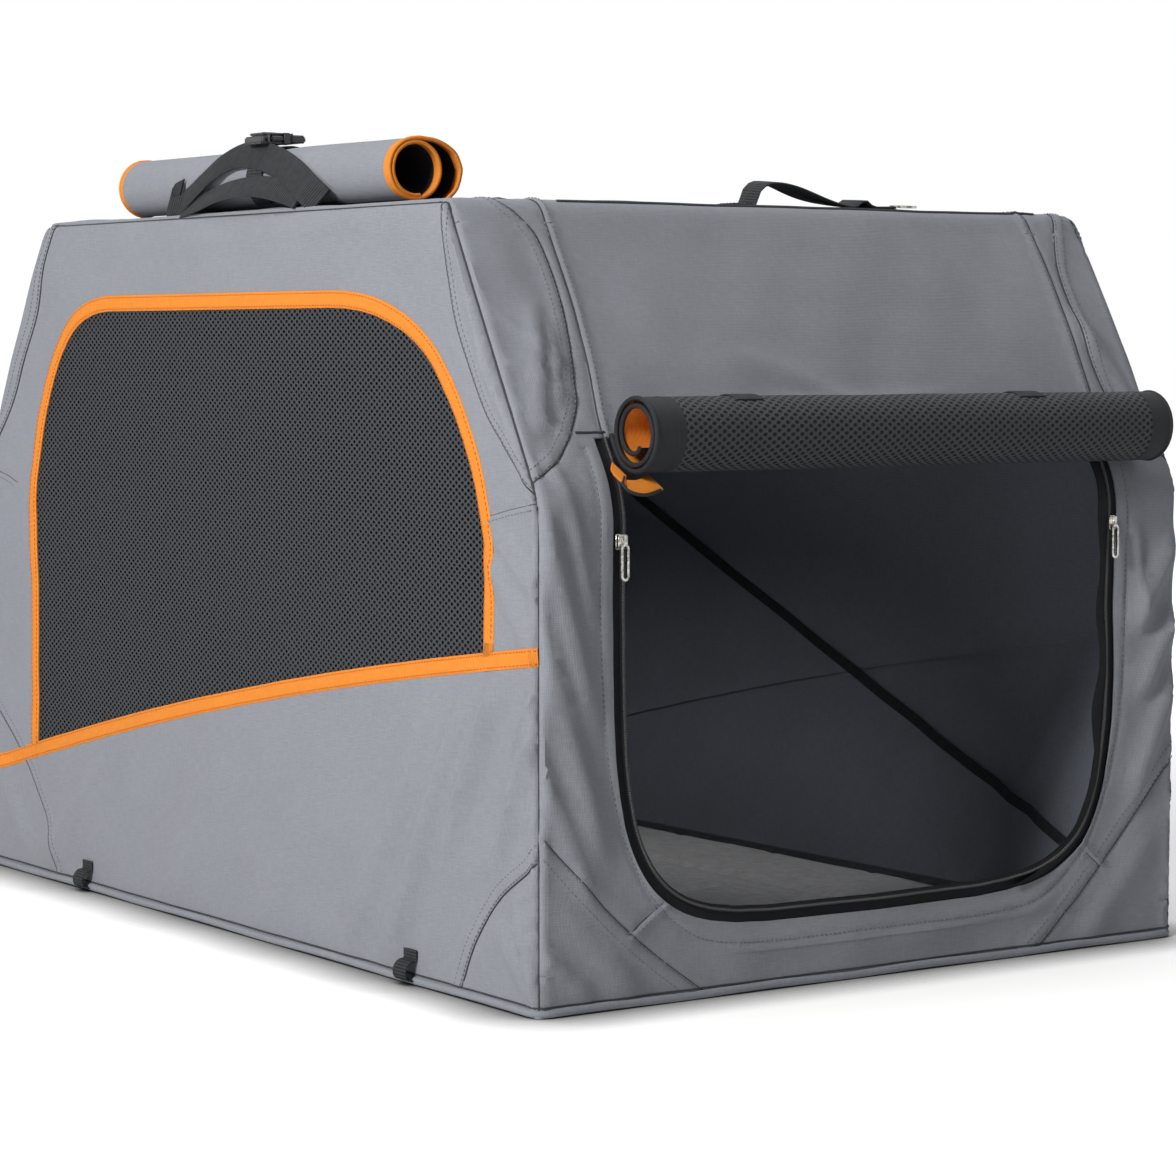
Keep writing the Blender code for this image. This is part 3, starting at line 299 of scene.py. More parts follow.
def outward(p):
    """The skin's outward direction at points."""
    step = 0.0001
    return unit(np.array([outside(p + step * axis) - outside(p - step * axis) for axis in np.eye(3)]).T)


def on_skin(p, lift):
    """Points brought onto the rounded skin, then lifted off it."""
    for _ in range(3):
        p = p - outward(p) * outside(p)[:, None]
    return p + outward(p) * np.asarray(lift)[:, None]


def belt(side):
    """Places (x, distance up one end from the floor, over the knee and the top edge) on the skin."""
    def place(uv, lift):
        x, s = uv[:, 0], uv[:, 1]
        along = np.clip(s - KNEE, 0, SLOPE)
        over = np.clip(s - TOP_EDGE, 0, None)
        y = HALF_LENGTH - along * SLOPE_DEPTH / SLOPE - over
        z = np.minimum(s, KNEE) + along * RISE / SLOPE
        return on_skin(np.column_stack([x, side * y, z]), lift)
    return place


def wall(sign):
    """Places (y, z) on a side of the skin."""
    def place(uv, lift):
        return on_skin(np.column_stack([np.full(len(uv), sign * HALF_WIDTH), uv]), lift)
    return place


front_belt = belt(-1)
rear_belt = belt(1)


def roof_place(uv, lift):
    """Places (x, y) on the roof."""
    return on_skin(level(uv, np.full(len(uv), HEIGHT)), lift)


def level(uv, z):
    """Points (x, y) at given heights."""
    return np.column_stack([uv, z])


# Flat outlines and paths

def resampled(path, step, closed=False):
    """A path with points no further apart than a step."""
    points = [np.array(p, float) for p in path]
    if closed:
        points.append(points[0])
    result = []
    for a, b in zip(points, points[1:]):
        count = max(1, math.ceil(np.linalg.norm(b - a) / step))
        result += [a + (b - a) * k / count for k in range(count)]
    if not closed:
        result.append(points[-1])
    return np.array(result)


def smoothed(path, step):
    """A smooth curve through the path's points, resampled."""
    p = [np.array(q, float) for q in path]
    p = [2 * p[0] - p[1], *p, 2 * p[-1] - p[-2]]
    result = []
    for a, b, c, d in zip(p, p[1:], p[2:], p[3:]):
        count = max(1, math.ceil(np.linalg.norm(c - b) / step))
        for k in range(count):
            t = k / count
            result.append(0.5 * (2 * b + (c - a) * t + (2 * a - 5 * b + 4 * c - d) * t ** 2
                                 + (3 * b - a - 3 * c + d) * t ** 3))
    result.append(p[-2])
    return np.array(result)


def run_lengths(path):
    """How far along a path each of its points lies."""
    return np.concatenate([[0], np.cumsum(np.linalg.norm(np.diff(path, axis=0), axis=1))])


def sideways(path, distance, closed=False):
    """A path moved to its left by a distance."""
    path = np.asarray(path, float)
    if closed:
        before, after = np.roll(path, 1, axis=0), np.roll(path, -1, axis=0)
    else:
        before, after = np.vstack([path[:1], path[:-1]]), np.vstack([path[1:], path[-1:]])
    into, out = path - before, after - path
    for these, others in ((into, out), (out, into)):
        still = np.linalg.norm(these, axis=1) == 0
        these[still] = others[still]
    into, out = unit(into), unit(out)
    left = unit(np.column_stack([-into[:, 1] - out[:, 1], into[:, 0] + out[:, 0]]))
    lean = left[:, 0] * -into[:, 1] + left[:, 1] * into[:, 0]
    return path + left * (distance / lean)[:, None]


def signed_distance(points, path, closed=False):
    """The distance of points from a path, above zero on its left."""
    path = np.asarray(path, float)
    ends = np.roll(path, -1, axis=0) if closed else path[1:]
    starts = path if closed else path[:-1]
    best = np.full(len(points), np.inf)
    sign = np.ones(len(points))
    for a, b in zip(starts, ends):
        run = b - a
        t = np.clip(((points - a) @ run) / (run @ run), 0, 1)
        away = points - a - t[:, None] * run
        distance = np.linalg.norm(away, axis=1)
        nearer = distance < best
        best = np.where(nearer, distance, best)
        sign = np.where(nearer, np.sign(run[0] * away[:, 1] - run[1] * away[:, 0]), sign)
    return best * np.where(sign == 0, 1, sign)


def within(points, outline):
    """Which points lie inside a closed outline."""
    outline = np.asarray(outline, float)
    result = np.zeros(len(points), bool)
    x, y = points.T
    for (x0, y0), (x1, y1) in zip(outline, np.roll(outline, -1, axis=0)):
        if y0 == y1:
            continue
        crosses = (y0 > y) != (y1 > y)
        result ^= crosses & (x < (x1 - x0) * (y - y0) / (y1 - y0) + x0)
    return result


def clear_of(points, others, gap):
    """Which points are at least a gap away from all the others."""
    keep = np.ones(len(points), bool)
    for start in range(0, len(points), 500):
        block = points[start:start + 500]
        near = np.linalg.norm(block[:, None] - others[None], axis=2).min(axis=1)
        keep[start:start + 500] = near > gap
    return keep


def triangles(outline, holes, rows, spacing):
    """A fine flat mesh inside an outline, with holes and with points along rows. Returns points and faces."""
    loops = [resampled(loop, spacing, closed=True) for loop in (outline, *holes)]
    fixed = np.vstack(loops)

    def inside(points):
        keep = within(points, loops[0])
        for loop in loops[1:]:
            keep &= ~within(points, loop)
        return keep

    for row in rows:
        row = resampled(row, spacing)
        row = row[inside(row)]
        if len(row):
            row = row[clear_of(row, fixed, 0.0008)]
        fixed = np.vstack([fixed, row])
    low, high = loops[0].min(axis=0), loops[0].max(axis=0)
    columns = np.arange(low[0], high[0], spacing)
    lines = np.arange(low[1], high[1], spacing * math.sqrt(3) / 2)
    grid = np.array([(x + (j % 2) * spacing / 2, y) for j, y in enumerate(lines) for x in columns])
    grid = grid[inside(grid)]
    grid = grid[clear_of(grid, fixed, spacing * 0.55)]
    points = np.vstack([fixed, grid])
    edges = []
    start = 0
    for loop in loops:
        count = len(loop)
        edges += [(start + i, start + (i + 1) % count) for i in range(count)]
        start += count
    flat, _, faces, *_ = delaunay_2d_cdt([Vector(p) for p in points], edges, [], 0, 1e-7)
    flat = np.array([tuple(p) for p in flat])
    faces = np.array([tuple(f) for f in faces])
    keep = inside(flat[faces].mean(axis=1))
    return flat, faces[keep]


# Relief of the cloth

def folds(uv, lines):
    """Soft ridges, each (start, end, width, height), that taper off at both ends."""
    total = np.zeros(len(uv))
    for start, end, width, height in lines:
        a, b = np.array(start), np.array(end)
        run = b - a
        t = ((uv - a) @ run) / (run @ run)
        away = np.abs((uv[:, 0] - a[0]) * run[1] - (uv[:, 1] - a[1]) * run[0]) / np.linalg.norm(run)
        taper = smooth_step((t + 0.25) / 0.45) * smooth_step((1.25 - t) / 0.45)
        total += height * np.exp(-(away / width) ** 2) * taper
    return total


def crest_rows(lines, widest=0.0092):
    """Rows of mesh points along the narrow ridges, so that the mesh can follow them."""
    return [sideways([start, end], width * share) for start, end, width, _ in lines if width < widest
            for share in (-1.3, -0.65, 0.0, 0.65, 1.3)]


def ripples(uv, seed, count, longest, shortest, height):
    """An uneven swell: many waves in all directions."""
    random = np.random.RandomState(seed)
    total = np.zeros(len(uv))
    for _ in range(count):
        length = shortest * (longest / shortest) ** random.rand()
        heading = random.rand() * math.pi
        phase = random.rand() * 2 * math.pi
        wave = (uv[:, 0] * math.cos(heading) + uv[:, 1] * math.sin(heading)) / length
        total += np.sin(2 * math.pi * wave + phase) * (length / longest) ** 0.7
    return total * height / math.sqrt(count)


def lap(uv, seam):
    """The step of one cloth lapped over another, on the left of a seam's path."""
    path, width, height = seam["path"], seam["width"], seam["height"]
    t = signed_distance(uv, path)
    step = smooth_step((t + 0.0005) / 0.0010)
    raised = height * step * (1 - smooth_step((t - width + 0.0010) / 0.0030))
    groove = -0.0007 * np.exp(-(t / 0.0011) ** 2)
    ridges = 0.0006 * (np.exp(-((t + 0.0045) / 0.0028) ** 2) + np.exp(-((t - 0.0045) / 0.0028) ** 2))
    return raised + groove + ridges


def seam_rows(seam):
    width = seam["width"]
    return [sideways(seam["path"], d) for d in (-0.003, -0.0006, 0.0006, width / 2, width - 0.001, width + 0.002)]


def puffed(edge):
    """The slight roll of cloth beside a seamed edge, by the distance from it."""
    return 0.0016 * np.exp(-((edge - 0.0055) / 0.0035) ** 2) - 0.0008 * np.exp(-(edge / 0.0016) ** 2)


# Mesh building

class Batch:
    """Gathers points and faces for one piece, with a material slot and a flat place in metres for each."""

    def __init__(self):
        self.points, self.faces, self.slots, self.flat = [], [], [], []
        self.count = 0

    def add(self, points, faces, slot, flat):
        base = self.count
        self.points.append(np.asarray(points, float))
        self.flat.append(np.asarray(flat, float))
        self.faces += [tuple(base + i for i in face) for face in faces]
        self.slots += [slot] * len(faces)
        self.count += len(points)

    def shell(self, flat, faces, place, lift, thickness, slots=(0, 1)):
        """A closed sheet of cloth from a flat mesh: its outer face, its inner face and a rim."""
        outer = place(flat, lift)
        inner = place(flat, lift - thickness)
        a, b, c = outer[faces[:, 0]], outer[faces[:, 1]], outer[faces[:, 2]]
        facing = np.cross(b - a, c - a) * (outer - inner)[faces[:, 0]]
        if facing.sum() < 0:
            faces = faces[:, ::-1]
        n = len(flat)
        edges = {(i, j) for f in faces for i, j in ((f[0], f[1]), (f[1], f[2]), (f[2], f[0]))}
        rim = [(j, i, i + n, j + n) for i, j in edges if (j, i) not in edges]
        start = self.count
        self.add(np.vstack([outer, inner]), faces, slots[0], np.vstack([flat, flat]))
        self.faces += [tuple(start + n + i for i in face[::-1]) for face in faces]
        self.slots += [slots[1]] * len(faces)
        self.faces += [tuple(start + i for i in face) for face in rim]
        self.slots += [slots[0]] * len(rim)
        return area_of(flat, faces)

    def rows(self, sections, slot, closed=False):
        """A body through closed cross-sections that all have the same number of points."""
        sections = np.asarray(sections, float)
        n, m = sections.shape[:2]
        along, around = run_lengths(sections.mean(axis=1)), run_lengths(sections[0])
        flat = np.array([(along[i], around[j]) for i in range(n) for j in range(m)])
        faces = [(i * m + j, i * m + (j + 1) % m, (i + 1) % n * m + (j + 1) % m, (i + 1) % n * m + j)
                 for i in range(n if closed else n - 1) for j in range(m)]
        if not closed:
            faces += [tuple(range(m))[::-1], tuple((n - 1) * m + j for j in range(m))]
        points = sections.reshape(-1, 3)
        self.add(points, outward_faces(points, faces), slot, flat)

    def tube(self, path, radius, slot, sides=6, closed=False):
        """A round cord through points. The radius may be a number or one for each point."""
        path = np.asarray(path, float)
        radius = np.broadcast_to(radius, len(path))
        frames = frames_along(path, closed)
        angles = 2 * math.pi * np.arange(sides) / sides
        sections = [p + r * (np.cos(angles)[:, None] * u + np.sin(angles)[:, None] * v)
                    for p, r, (u, v) in zip(path, radius, frames)]
        self.rows(sections, slot, closed)

    def strip(self, path, profile, place, relief, slot, closed=False):
        """A tape laid on the skin along a flat path. Its closed profile is in (offset to the left, lift)."""
        lines = [(sideways(path, offset, closed), lift) for offset, lift in profile]
        self.rows(np.array([place(line, relief(line) + lift) for line, lift in lines]).transpose(1, 0, 2), slot, closed)

    def tape(self, path, across, width, thickness, slot, closed=False):
        """A flat webbing through points, with the direction of its width at each."""
        path = np.asarray(path, float)
        across = unit(np.broadcast_to(np.asarray(across, float), path.shape))
        up = unit(np.cross(np.gradient(path, axis=0), across))
        w, t = width / 2, thickness / 2
        profile = [(-w, -t * 0.3), (-w, t * 0.3), (-w * 0.94, t), (0, t * 1.1), (w * 0.94, t), (w, t * 0.3),
                   (w, -t * 0.3), (w * 0.94, -t), (0, -t * 1.1), (-w * 0.94, -t)]
        sections = [[p + a * x + b * y for x, y in profile] for p, a, b in zip(path, across, up)]
        self.rows(sections, slot, closed)

    def stitches(self, path, slot):
        """A row of sewn stitches along points on a surface."""
        path = np.asarray(path, float)
        along = run_lengths(path)
        if along[-1] < 2 * STITCH_PITCH:
            return

        def points_at(distances):
            return np.stack([np.interp(distances, along, path[:, k]) for k in range(3)], axis=1)

        middles = np.arange(STITCH_PITCH / 2, along[-1] - STITCH_PITCH / 2, STITCH_PITCH)
        at = points_at(middles)
        ahead = unit(points_at(middles + STITCH_PITCH / 2) - at)
        side = unit(np.cross(ahead, (0.31, 0.57, 0.76)))
        faces = [(0, 1 + k, 1 + (k + 1) % 4) for k in range(4)]
        faces += [(1 + k, 5 + k, 5 + (k + 1) % 4, 1 + (k + 1) % 4) for k in range(4)]
        faces += [(9, 5 + (k + 1) % 4, 5 + k) for k in range(4)]
        for p, a, s, u in zip(at, ahead, side, np.cross(ahead, side)):
            a, s, u = a * STITCH_LENGTH / 2, s * STITCH_RADIUS, u * STITCH_RADIUS
            waist = [s, u, -s, -u]
            points = [p - a, *(p - a * 0.6 + w for w in waist), *(p + a * 0.6 + w for w in waist), p + a]
            self.add(points, outward_faces(np.array(points), faces), slot, np.zeros((10, 2)))

    def build(self, name, materials, smooth_deg=50.0):
        mesh = bpy.data.meshes.new(name)
        mesh.from_pydata(np.vstack(self.points).tolist(), [], [tuple(int(i) for i in f) for f in self.faces])
        mesh.polygons.foreach_set("material_index", self.slots)
        mesh.uv_layers.new(name="UVMap")
        order = np.empty(len(mesh.loops), int)
        mesh.loops.foreach_get("vertex_index", order)
        mesh.uv_layers[0].data.foreach_set("uv", np.vstack(self.flat)[order].ravel())
        for material in materials:
            mesh.materials.append(material)
        return smooth_object(name, mesh, smooth_deg)


def placed(name, data):
    """An object with its data, put in the scene."""
    thing = bpy.data.objects.new(name, data)
    bpy.context.scene.collection.objects.link(thing)
    return thing


def smooth_object(name, mesh, sharp_deg):
    mesh.shade_smooth()
    mesh.set_sharp_from_angle(angle=math.radians(sharp_deg))
    return placed(name, mesh)


def area_of(flat, faces):
    a, b, c = flat[faces[:, 0]], flat[faces[:, 1]], flat[faces[:, 2]]
    return float(np.abs((b - a)[:, 0] * (c - a)[:, 1] - (b - a)[:, 1] * (c - a)[:, 0]).sum() / 2)


def outward_faces(points, faces):
    """The same closed faces, turned outward."""
    volume = 0.0
    for face in faces:
        for i in range(1, len(face) - 1):
            volume += np.dot(points[face[0]], np.cross(points[face[i]], points[face[i + 1]]))
    return [face[::-1] for face in faces] if volume < 0 else faces


def frames_along(path, closed):
    """Two directions square to a path at each point, carried along it without twist."""
    run = np.roll(path, -1, axis=0) - np.roll(path, 1, axis=0)
    if not closed:
        run[0], run[-1] = path[1] - path[0], path[-1] - path[-2]
    run = unit(run)
    start = np.eye(3)[np.abs(run[0]).argmin()]
    frames = []
    u = start - run[0] * (start @ run[0])
    for direction in run:
        u = u - direction * (u @ direction)
        u /= np.linalg.norm(u)
        frames.append((u, np.cross(direction, u)))
    return frames


# Materials

def put(tree, socket, value):
    """Links a socket to another one, or sets it to a value."""
    if isinstance(value, bpy.types.NodeSocket):
        tree.links.new(value, socket)
    else:
        socket.default_value = value


def add_node(tree, kind, inputs=None, **settings):
    node = tree.nodes.new("ShaderNode" + kind)
    for key, value in settings.items():
        setattr(node, key, value)
    for key, value in (inputs or {}).items():
        put(tree, node.inputs[key], value)
    return node


class Graph:
    """Short calls for a material's nodes."""

    def __init__(self, name, color, roughness, metallic=0.0, sheen=0.0, specular=0.5):
        self.material = bpy.data.materials.new(name)
        self.material.use_nodes = True
        self.tree = self.material.node_tree
        self.shader = self.tree.nodes["Principled BSDF"]
        for socket, value in (("Base Color", (*color, 1)), ("Roughness", roughness), ("Metallic", metallic),
                              ("Sheen Weight", sheen), ("Specular IOR Level", specular)):
            self.shader.inputs[socket].default_value = value
        place = self.node("TexCoord")
        self.uv = place.outputs["UV"]
        self.solid = place.outputs["Object"]

    def node(self, kind, inputs=None, **settings):
        return add_node(self.tree, kind, inputs, **settings)

    def put(self, name, value):
        """Sets one of the shader's inputs."""
        put(self.tree, self.shader.inputs[name], value)

    def math(self, operation, a, b=0.0):
        return self.node("Math", {0: a, 1: b}, operation=operation).outputs[0]

    def weighted(self, a, share, b, other_share):
        """The sum of two values, each times its share."""
        return self.math("ADD", self.math("MULTIPLY", a, share), self.math("MULTIPLY", b, other_share))

    def topped(self, a, b, share):
        """A value with a share of another one added."""
        return self.math("ADD", a, self.math("MULTIPLY", b, share))

    def mapped(self, vector, scale=(1, 1, 1), turn_deg=0.0):
        settings = {"Vector": vector, "Scale": scale, "Rotation": (0, 0, math.radians(turn_deg))}
        return self.node("Mapping", settings).outputs[0]

    def noise(self, vector, scale, detail=2.0, roughness=0.5):
        return self.node("TexNoise", {"Vector": vector, "Scale": scale, "Detail": detail,
                                      "Roughness": roughness}).outputs["Fac"]

    def wave(self, vector, scale, direction="X"):
        """Even ribs along one direction, with a number of them to the metre."""
        return self.node("TexWave", {"Vector": vector, "Scale": scale * math.pi / 10},
                         wave_type="BANDS", bands_direction=direction, wave_profile="SIN").outputs["Fac"]

    def cells(self, vector):
        return self.node("TexVoronoi", {"Vector": vector, "Scale": 1.0, "Randomness": 0.0},
                         voronoi_dimensions="2D").outputs["Distance"]

    def between(self, value, low, high, to_low=0.0, to_high=1.0):
        return self.node("MapRange", {"Value": value, "From Min": low, "From Max": high, "To Min": to_low,
                                      "To Max": to_high}, interpolation_type="SMOOTHSTEP").outputs[0]

    def blend(self, factor, a, b):
        node = self.node("Mix", {0: factor}, data_type="RGBA")
        for slot, color in ((6, a), (7, b)):
            put(self.tree, node.inputs[slot], (*color, 1) if isinstance(color, tuple) else color)
        return node.outputs[2]

    def bump(self, height, distance, after=None):
        inputs = {"Height": height, "Distance": distance, "Strength": 1.0}
        if after:
            inputs["Normal"] = after
        normal = self.node("Bump", inputs).outputs[0]
        self.put("Normal", normal)
        return normal


def woven(name, color, dark, pitch, roughness, sheen):
    """Plain-woven cloth: crossing threads, slubs, and a soft uneven tone."""
    slub_share, depth = 0.85, 0.00016
    g = Graph(name, color, roughness, sheen=sheen, specular=0.25)
    weave = g.math("MULTIPLY", g.wave(g.uv, 1 / pitch, "X"), g.wave(g.uv, 1 / (pitch * 1.15), "Y"))
    slubs = [g.noise(g.mapped(g.uv, scale), 1.0, 3.0) for scale in ((90, 900, 1), (900, 90, 1))]
    threads = g.weighted(slubs[0], 0.5, slubs[1], 0.5)
    cloud = g.noise(g.uv, 14.0, 3.0, 0.5)
    tone = g.weighted(threads, slub_share, cloud, 1 - slub_share)
    tone = g.math("SUBTRACT", g.between(tone, 0.34, 0.66), g.math("MULTIPLY", weave, 0.18))
    g.put("Base Color", g.blend(tone, dark, color))
    g.put("Roughness", g.between(threads, 0.3, 0.7, roughness - 0.06, roughness + 0.06))
    g.bump(g.topped(weave, threads, 0.8), depth, g.bump(cloud, 0.0003))
    return g.material


def netting(name, thread, hole, long_pitch, short_pitch, hole_share, roughness, depth, open_holes=False):
    """Knitted mesh: staggered rows of longish holes, with a finer knit on the threads."""
    g = Graph(name, thread, roughness, specular=0.15)
    turned = g.mapped(g.uv, (1 / long_pitch, 1 / short_pitch, 1), 45.0)
    away = g.cells(g.mapped(turned, (math.sqrt(2), math.sqrt(2), 1)))
    solid = g.between(away, hole_share - 0.10, hole_share + 0.08)
    knit = g.noise(g.uv, 1500.0, 2.0)
    lit = g.blend(g.between(knit, 0.3, 0.7), tuple(c * 0.62 for c in thread), thread)
    # The holes' dark colour is painted shade, the dark seen through the mesh.
    g.put("Base Color", g.blend(solid, hole, lit))
    if open_holes:
        g.put("Alpha", g.between(away, hole_share - 0.14, hole_share - 0.06))
    g.bump(g.topped(solid, knit, 0.3), depth)
    return g.material


def ribbed(name, color, dark, pitch, roughness):
    """Webbing and grosgrain tape, with ribs across its run and a twill in them."""
    g = Graph(name, color, roughness, specular=0.15)
    ribs = g.wave(g.uv, 1 / pitch)
    twill = g.wave(g.mapped(g.uv, turn_deg=45.0), 1 / (pitch * 0.7))
    tone = g.weighted(ribs, 0.45, g.noise(g.uv, 160.0, 3.0), 0.55)
    g.put("Base Color", g.blend(g.between(tone, 0.2, 0.8), dark, color))
    g.bump(g.topped(ribs, twill, 0.4), 0.00018)
    return g.material


def coil_teeth():
    """The coil of a zip: close teeth across its run."""
    g = Graph("zip_coil", (0.018, 0.019, 0.021), 0.42, specular=0.5)
    teeth = g.wave(g.uv, 1 / 0.0016)
    g.put("Base Color", g.blend(teeth, (0.006, 0.006, 0.007), (0.030, 0.031, 0.034)))
    g.bump(teeth, 0.0005)
    return g.material


def cast(name, color, roughness, metallic, grain, depth, wear, smear_scale=60.0):
    """Plastic, paint or plated metal, with a fine grain, smears and a second tone in places: a lighter worn tone on
    plastic and paint, and painted dark reflections on plated metal.
    """
    g = Graph(name, color, roughness, metallic=metallic)
    smears_and_reflections = g.noise(g.solid, smear_scale, 4.0, 0.6)
    # The second tone is wear on plastic and paint, and painted dark reflections on plated metal.
    g.put("Base Color", g.blend(g.between(smears_and_reflections, 0.35, 0.7), color, wear))
    g.put("Roughness", g.between(smears_and_reflections, 0.3, 0.7, roughness - 0.07, roughness + 0.10))
    g.bump(g.noise(g.solid, grain, 3.0), depth)
    return g.material


def plush():
    """The mat's short pile."""
    g = Graph("mat_plush", (0.50, 0.50, 0.51), 0.95, sheen=0.5, specular=0.1)
    pile = g.noise(g.solid, 700.0, 4.0, 0.7)
    tufts = g.noise(g.solid, 90.0, 3.0)
    tone = g.weighted(pile, 0.6, tufts, 0.4)
    g.put("Base Color", g.blend(g.between(tone, 0.3, 0.7), (0.52, 0.52, 0.54), (0.84, 0.84, 0.85)))
    g.bump(pile, 0.0008, g.bump(tufts, 0.0018))
    return g.material


GREY = woven("grey_polyester", (0.243, 0.254, 0.286), (0.198, 0.207, 0.233), 0.0011, 0.74, 0.06)
LINING = woven("slate_lining", (0.205, 0.224, 0.270), (0.158, 0.173, 0.208), 0.0011, 0.60, 0.06)
BLACK_CLOTH = woven("black_lining", (0.018, 0.019, 0.022), (0.010, 0.011, 0.013), 0.0011, 0.72, 0.0)
# Dark thread. On the skin it draws the dark cords along seams and edges, which are painted shade lines; on the handle
# it is the stitches' real thread.
SHADE_LINE_AND_THREAD = woven("seam_thread", (0.058, 0.061, 0.068), (0.034, 0.036, 0.041), 0.0006, 0.85, 0.0)
STITCH = woven("stitch_thread", (0.150, 0.156, 0.170), (0.120, 0.125, 0.137), 0.0006, 0.80, 0.0)
# The nets' near-black hole colours are painted shade, seen through the mesh.
WINDOW = netting("window_net", (0.053, 0.057, 0.064), (0.006, 0.006, 0.007), 0.0078, 0.0052, 0.37, 0.68, 0.0005, True)
ROLL_NET = netting("door_net", (0.064, 0.066, 0.073), (0.001, 0.001, 0.001), 0.0082, 0.0058, 0.33, 0.62, 0.0009)
ORANGE = ribbed("orange_tape", (0.77, 0.262, 0.038), (0.64, 0.195, 0.022), 0.0011, 0.72)
WEBBING = ribbed("black_webbing", (0.038, 0.040, 0.044), (0.010, 0.011, 0.012), 0.0024, 0.75)
ORANGE_THREAD = ribbed("orange_thread", (0.66, 0.170, 0.014), (0.56, 0.130, 0.010), 0.0006, 0.75)
TAPE = ribbed("zip_tape", (0.014, 0.015, 0.017), (0.006, 0.006, 0.007), 0.0009, 0.78)
COIL = coil_teeth()
PLASTIC = cast("black_plastic_satin", (0.020, 0.021, 0.024), 0.38, 0.0, 900.0, 0.00006, (0.038, 0.039, 0.043))
# Its dark second tone is painted dark reflections.
NICKEL = cast("bright_nickel", (0.62, 0.60, 0.56), 0.26, 1.0, 500.0, 0.00003, (0.14, 0.13, 0.12), smear_scale=320.0)
PAINT = cast("grey_paint", (0.052, 0.054, 0.058), 0.36, 0.2, 600.0, 0.00008, (0.080, 0.082, 0.086))
PLUSH = plush()
SKIN = (GREY, LINING, SHADE_LINE_AND_THREAD, STITCH)


# Outlines of the crate's parts

def bezier(a, b, c, d, steps):
    return [tuple((1 - t) ** 3 * p + 3 * (1 - t) ** 2 * t * q + 3 * (1 - t) * t * t * r + t ** 3 * s
                  for p, q, r, s in zip(a, b, c, d)) for t in (k / steps for k in range(steps + 1))]


def sill_point(y):
    """The sweep under the window, which carries on as a band to both ends."""
    t = (y - WINDOW_REAR) / (WINDOW_FRONT - WINDOW_REAR)
    rise = WINDOW_FRONT_SILL - WINDOW_REAR_SILL
    return y, WINDOW_REAR_SILL + rise * t + 4 * SILL_BOW * t * (1 - t)


def window_outline(steps=16):
    shoulder = WINDOW_TOP - WINDOW_SHOULDER_DROP
    lift = WINDOW_SHOULDER_DROP * ARCH_PULL_SHARE
    front_run, rear_run = ARCH_START - WINDOW_FRONT, WINDOW_REAR - ARCH_END
    over_front = bezier((WINDOW_FRONT, shoulder), (WINDOW_FRONT + front_run * ARCH_LEAN_SHARE, shoulder + lift),
                        (ARCH_START - front_run * ARCH_PULL_SHARE, WINDOW_TOP), (ARCH_START, WINDOW_TOP), steps)
    over_rear = bezier((ARCH_END, WINDOW_TOP), (ARCH_END + rear_run * ARCH_PULL_SHARE, WINDOW_TOP),
                       (WINDOW_REAR - rear_run * ARCH_LEAN_SHARE, shoulder + lift), (WINDOW_REAR, shoulder), steps)
    sill = [sill_point(WINDOW_REAR + (WINDOW_FRONT - WINDOW_REAR) * k / 10) for k in range(11)]
    return [*over_front, *over_rear, *sill]


def mirrored(path):
    """The other half of a path that is even about x = 0, walked on from its end."""
    return [(-x, s) for x, s in path[::-1]]


def door_edge(steps=14):
    """The door's edge in (x, distance up the front), from its top left down round the sill to its top right."""
    left = [(-DOOR_HALF, DOOR_TOP), (-DOOR_HALF, KNEE)]
    for k in range(steps + 1):
        lean = math.pi / 2 * k / steps
        left.append((-DOOR_HALF * math.cos(lean) ** (2 / DOOR_POWER) if k < steps else 0.0,
                     DOOR_SHOULDER - (DOOR_SHOULDER - DOOR_SILL) * math.sin(lean) ** (2 / DOOR_POWER)))
    return left + mirrored(left[:-1])


SIDE_OUTLINE = [(-HALF_LENGTH, FLOOR), (HALF_LENGTH, FLOOR), (HALF_LENGTH, KNEE), (ROOF_HALF, HEIGHT),
                (-ROOF_HALF, HEIGHT), (-HALF_LENGTH, KNEE)]
WINDOW_PATH = resampled(window_outline()[::-1], 0.008, closed=True)
DOOR_PATH = smoothed(resampled(door_edge(), 0.02), 0.006)


def seam(path, width=0.009, height=0.0007, rows=(0.0016, 0.0072), cord=0.00065, over=False):
    """A lapped seam: the lap lies on the left of the path, with rows of stitches across its width and a thin dark cord
    of a given radius at its edge, which is painted shade: the line of shade in the seam's fold. Turned over, the edge
    is on the lap's other side."""
    line = smoothed(path, 0.005)
    if over:
        line = sideways(line, width)[::-1]
    return {"path": line, "width": width, "height": height, "rows": rows, "cord": cord}


SHOULDER_SEAM = {"width": 0.010, "rows": (0.0016, 0.0084)}
INNER_SEAM = {"width": 0.006, "rows": (0.0044,)}
SIDE_CORNER_SEAM = {"width": 0.011, "rows": (0.0016, 0.0090)}
END_CORNER_SEAM = {"width": 0.012, "rows": (0.0016, 0.0100)}
ROOF_SEAM = {"width": 0.008, "rows": (0.0016, 0.0064)}
KNEE_DART = {"width": 0.006, "rows": (0.0040,), "cord": 0.0003}
CORNER_DART = {"width": 0.005, "rows": (0.0035,), "cord": 0.0003}


def kept(path, outline, holes):
    """The runs of a path inside an outline and outside its holes."""
    good = within(path, outline)
    for hole in holes:
        good &= ~within(path, hole)
    runs = np.flatnonzero(np.diff([0, *good, 0])).reshape(-1, 2)
    return [path[a:b] for a, b in runs if b - a > 2]


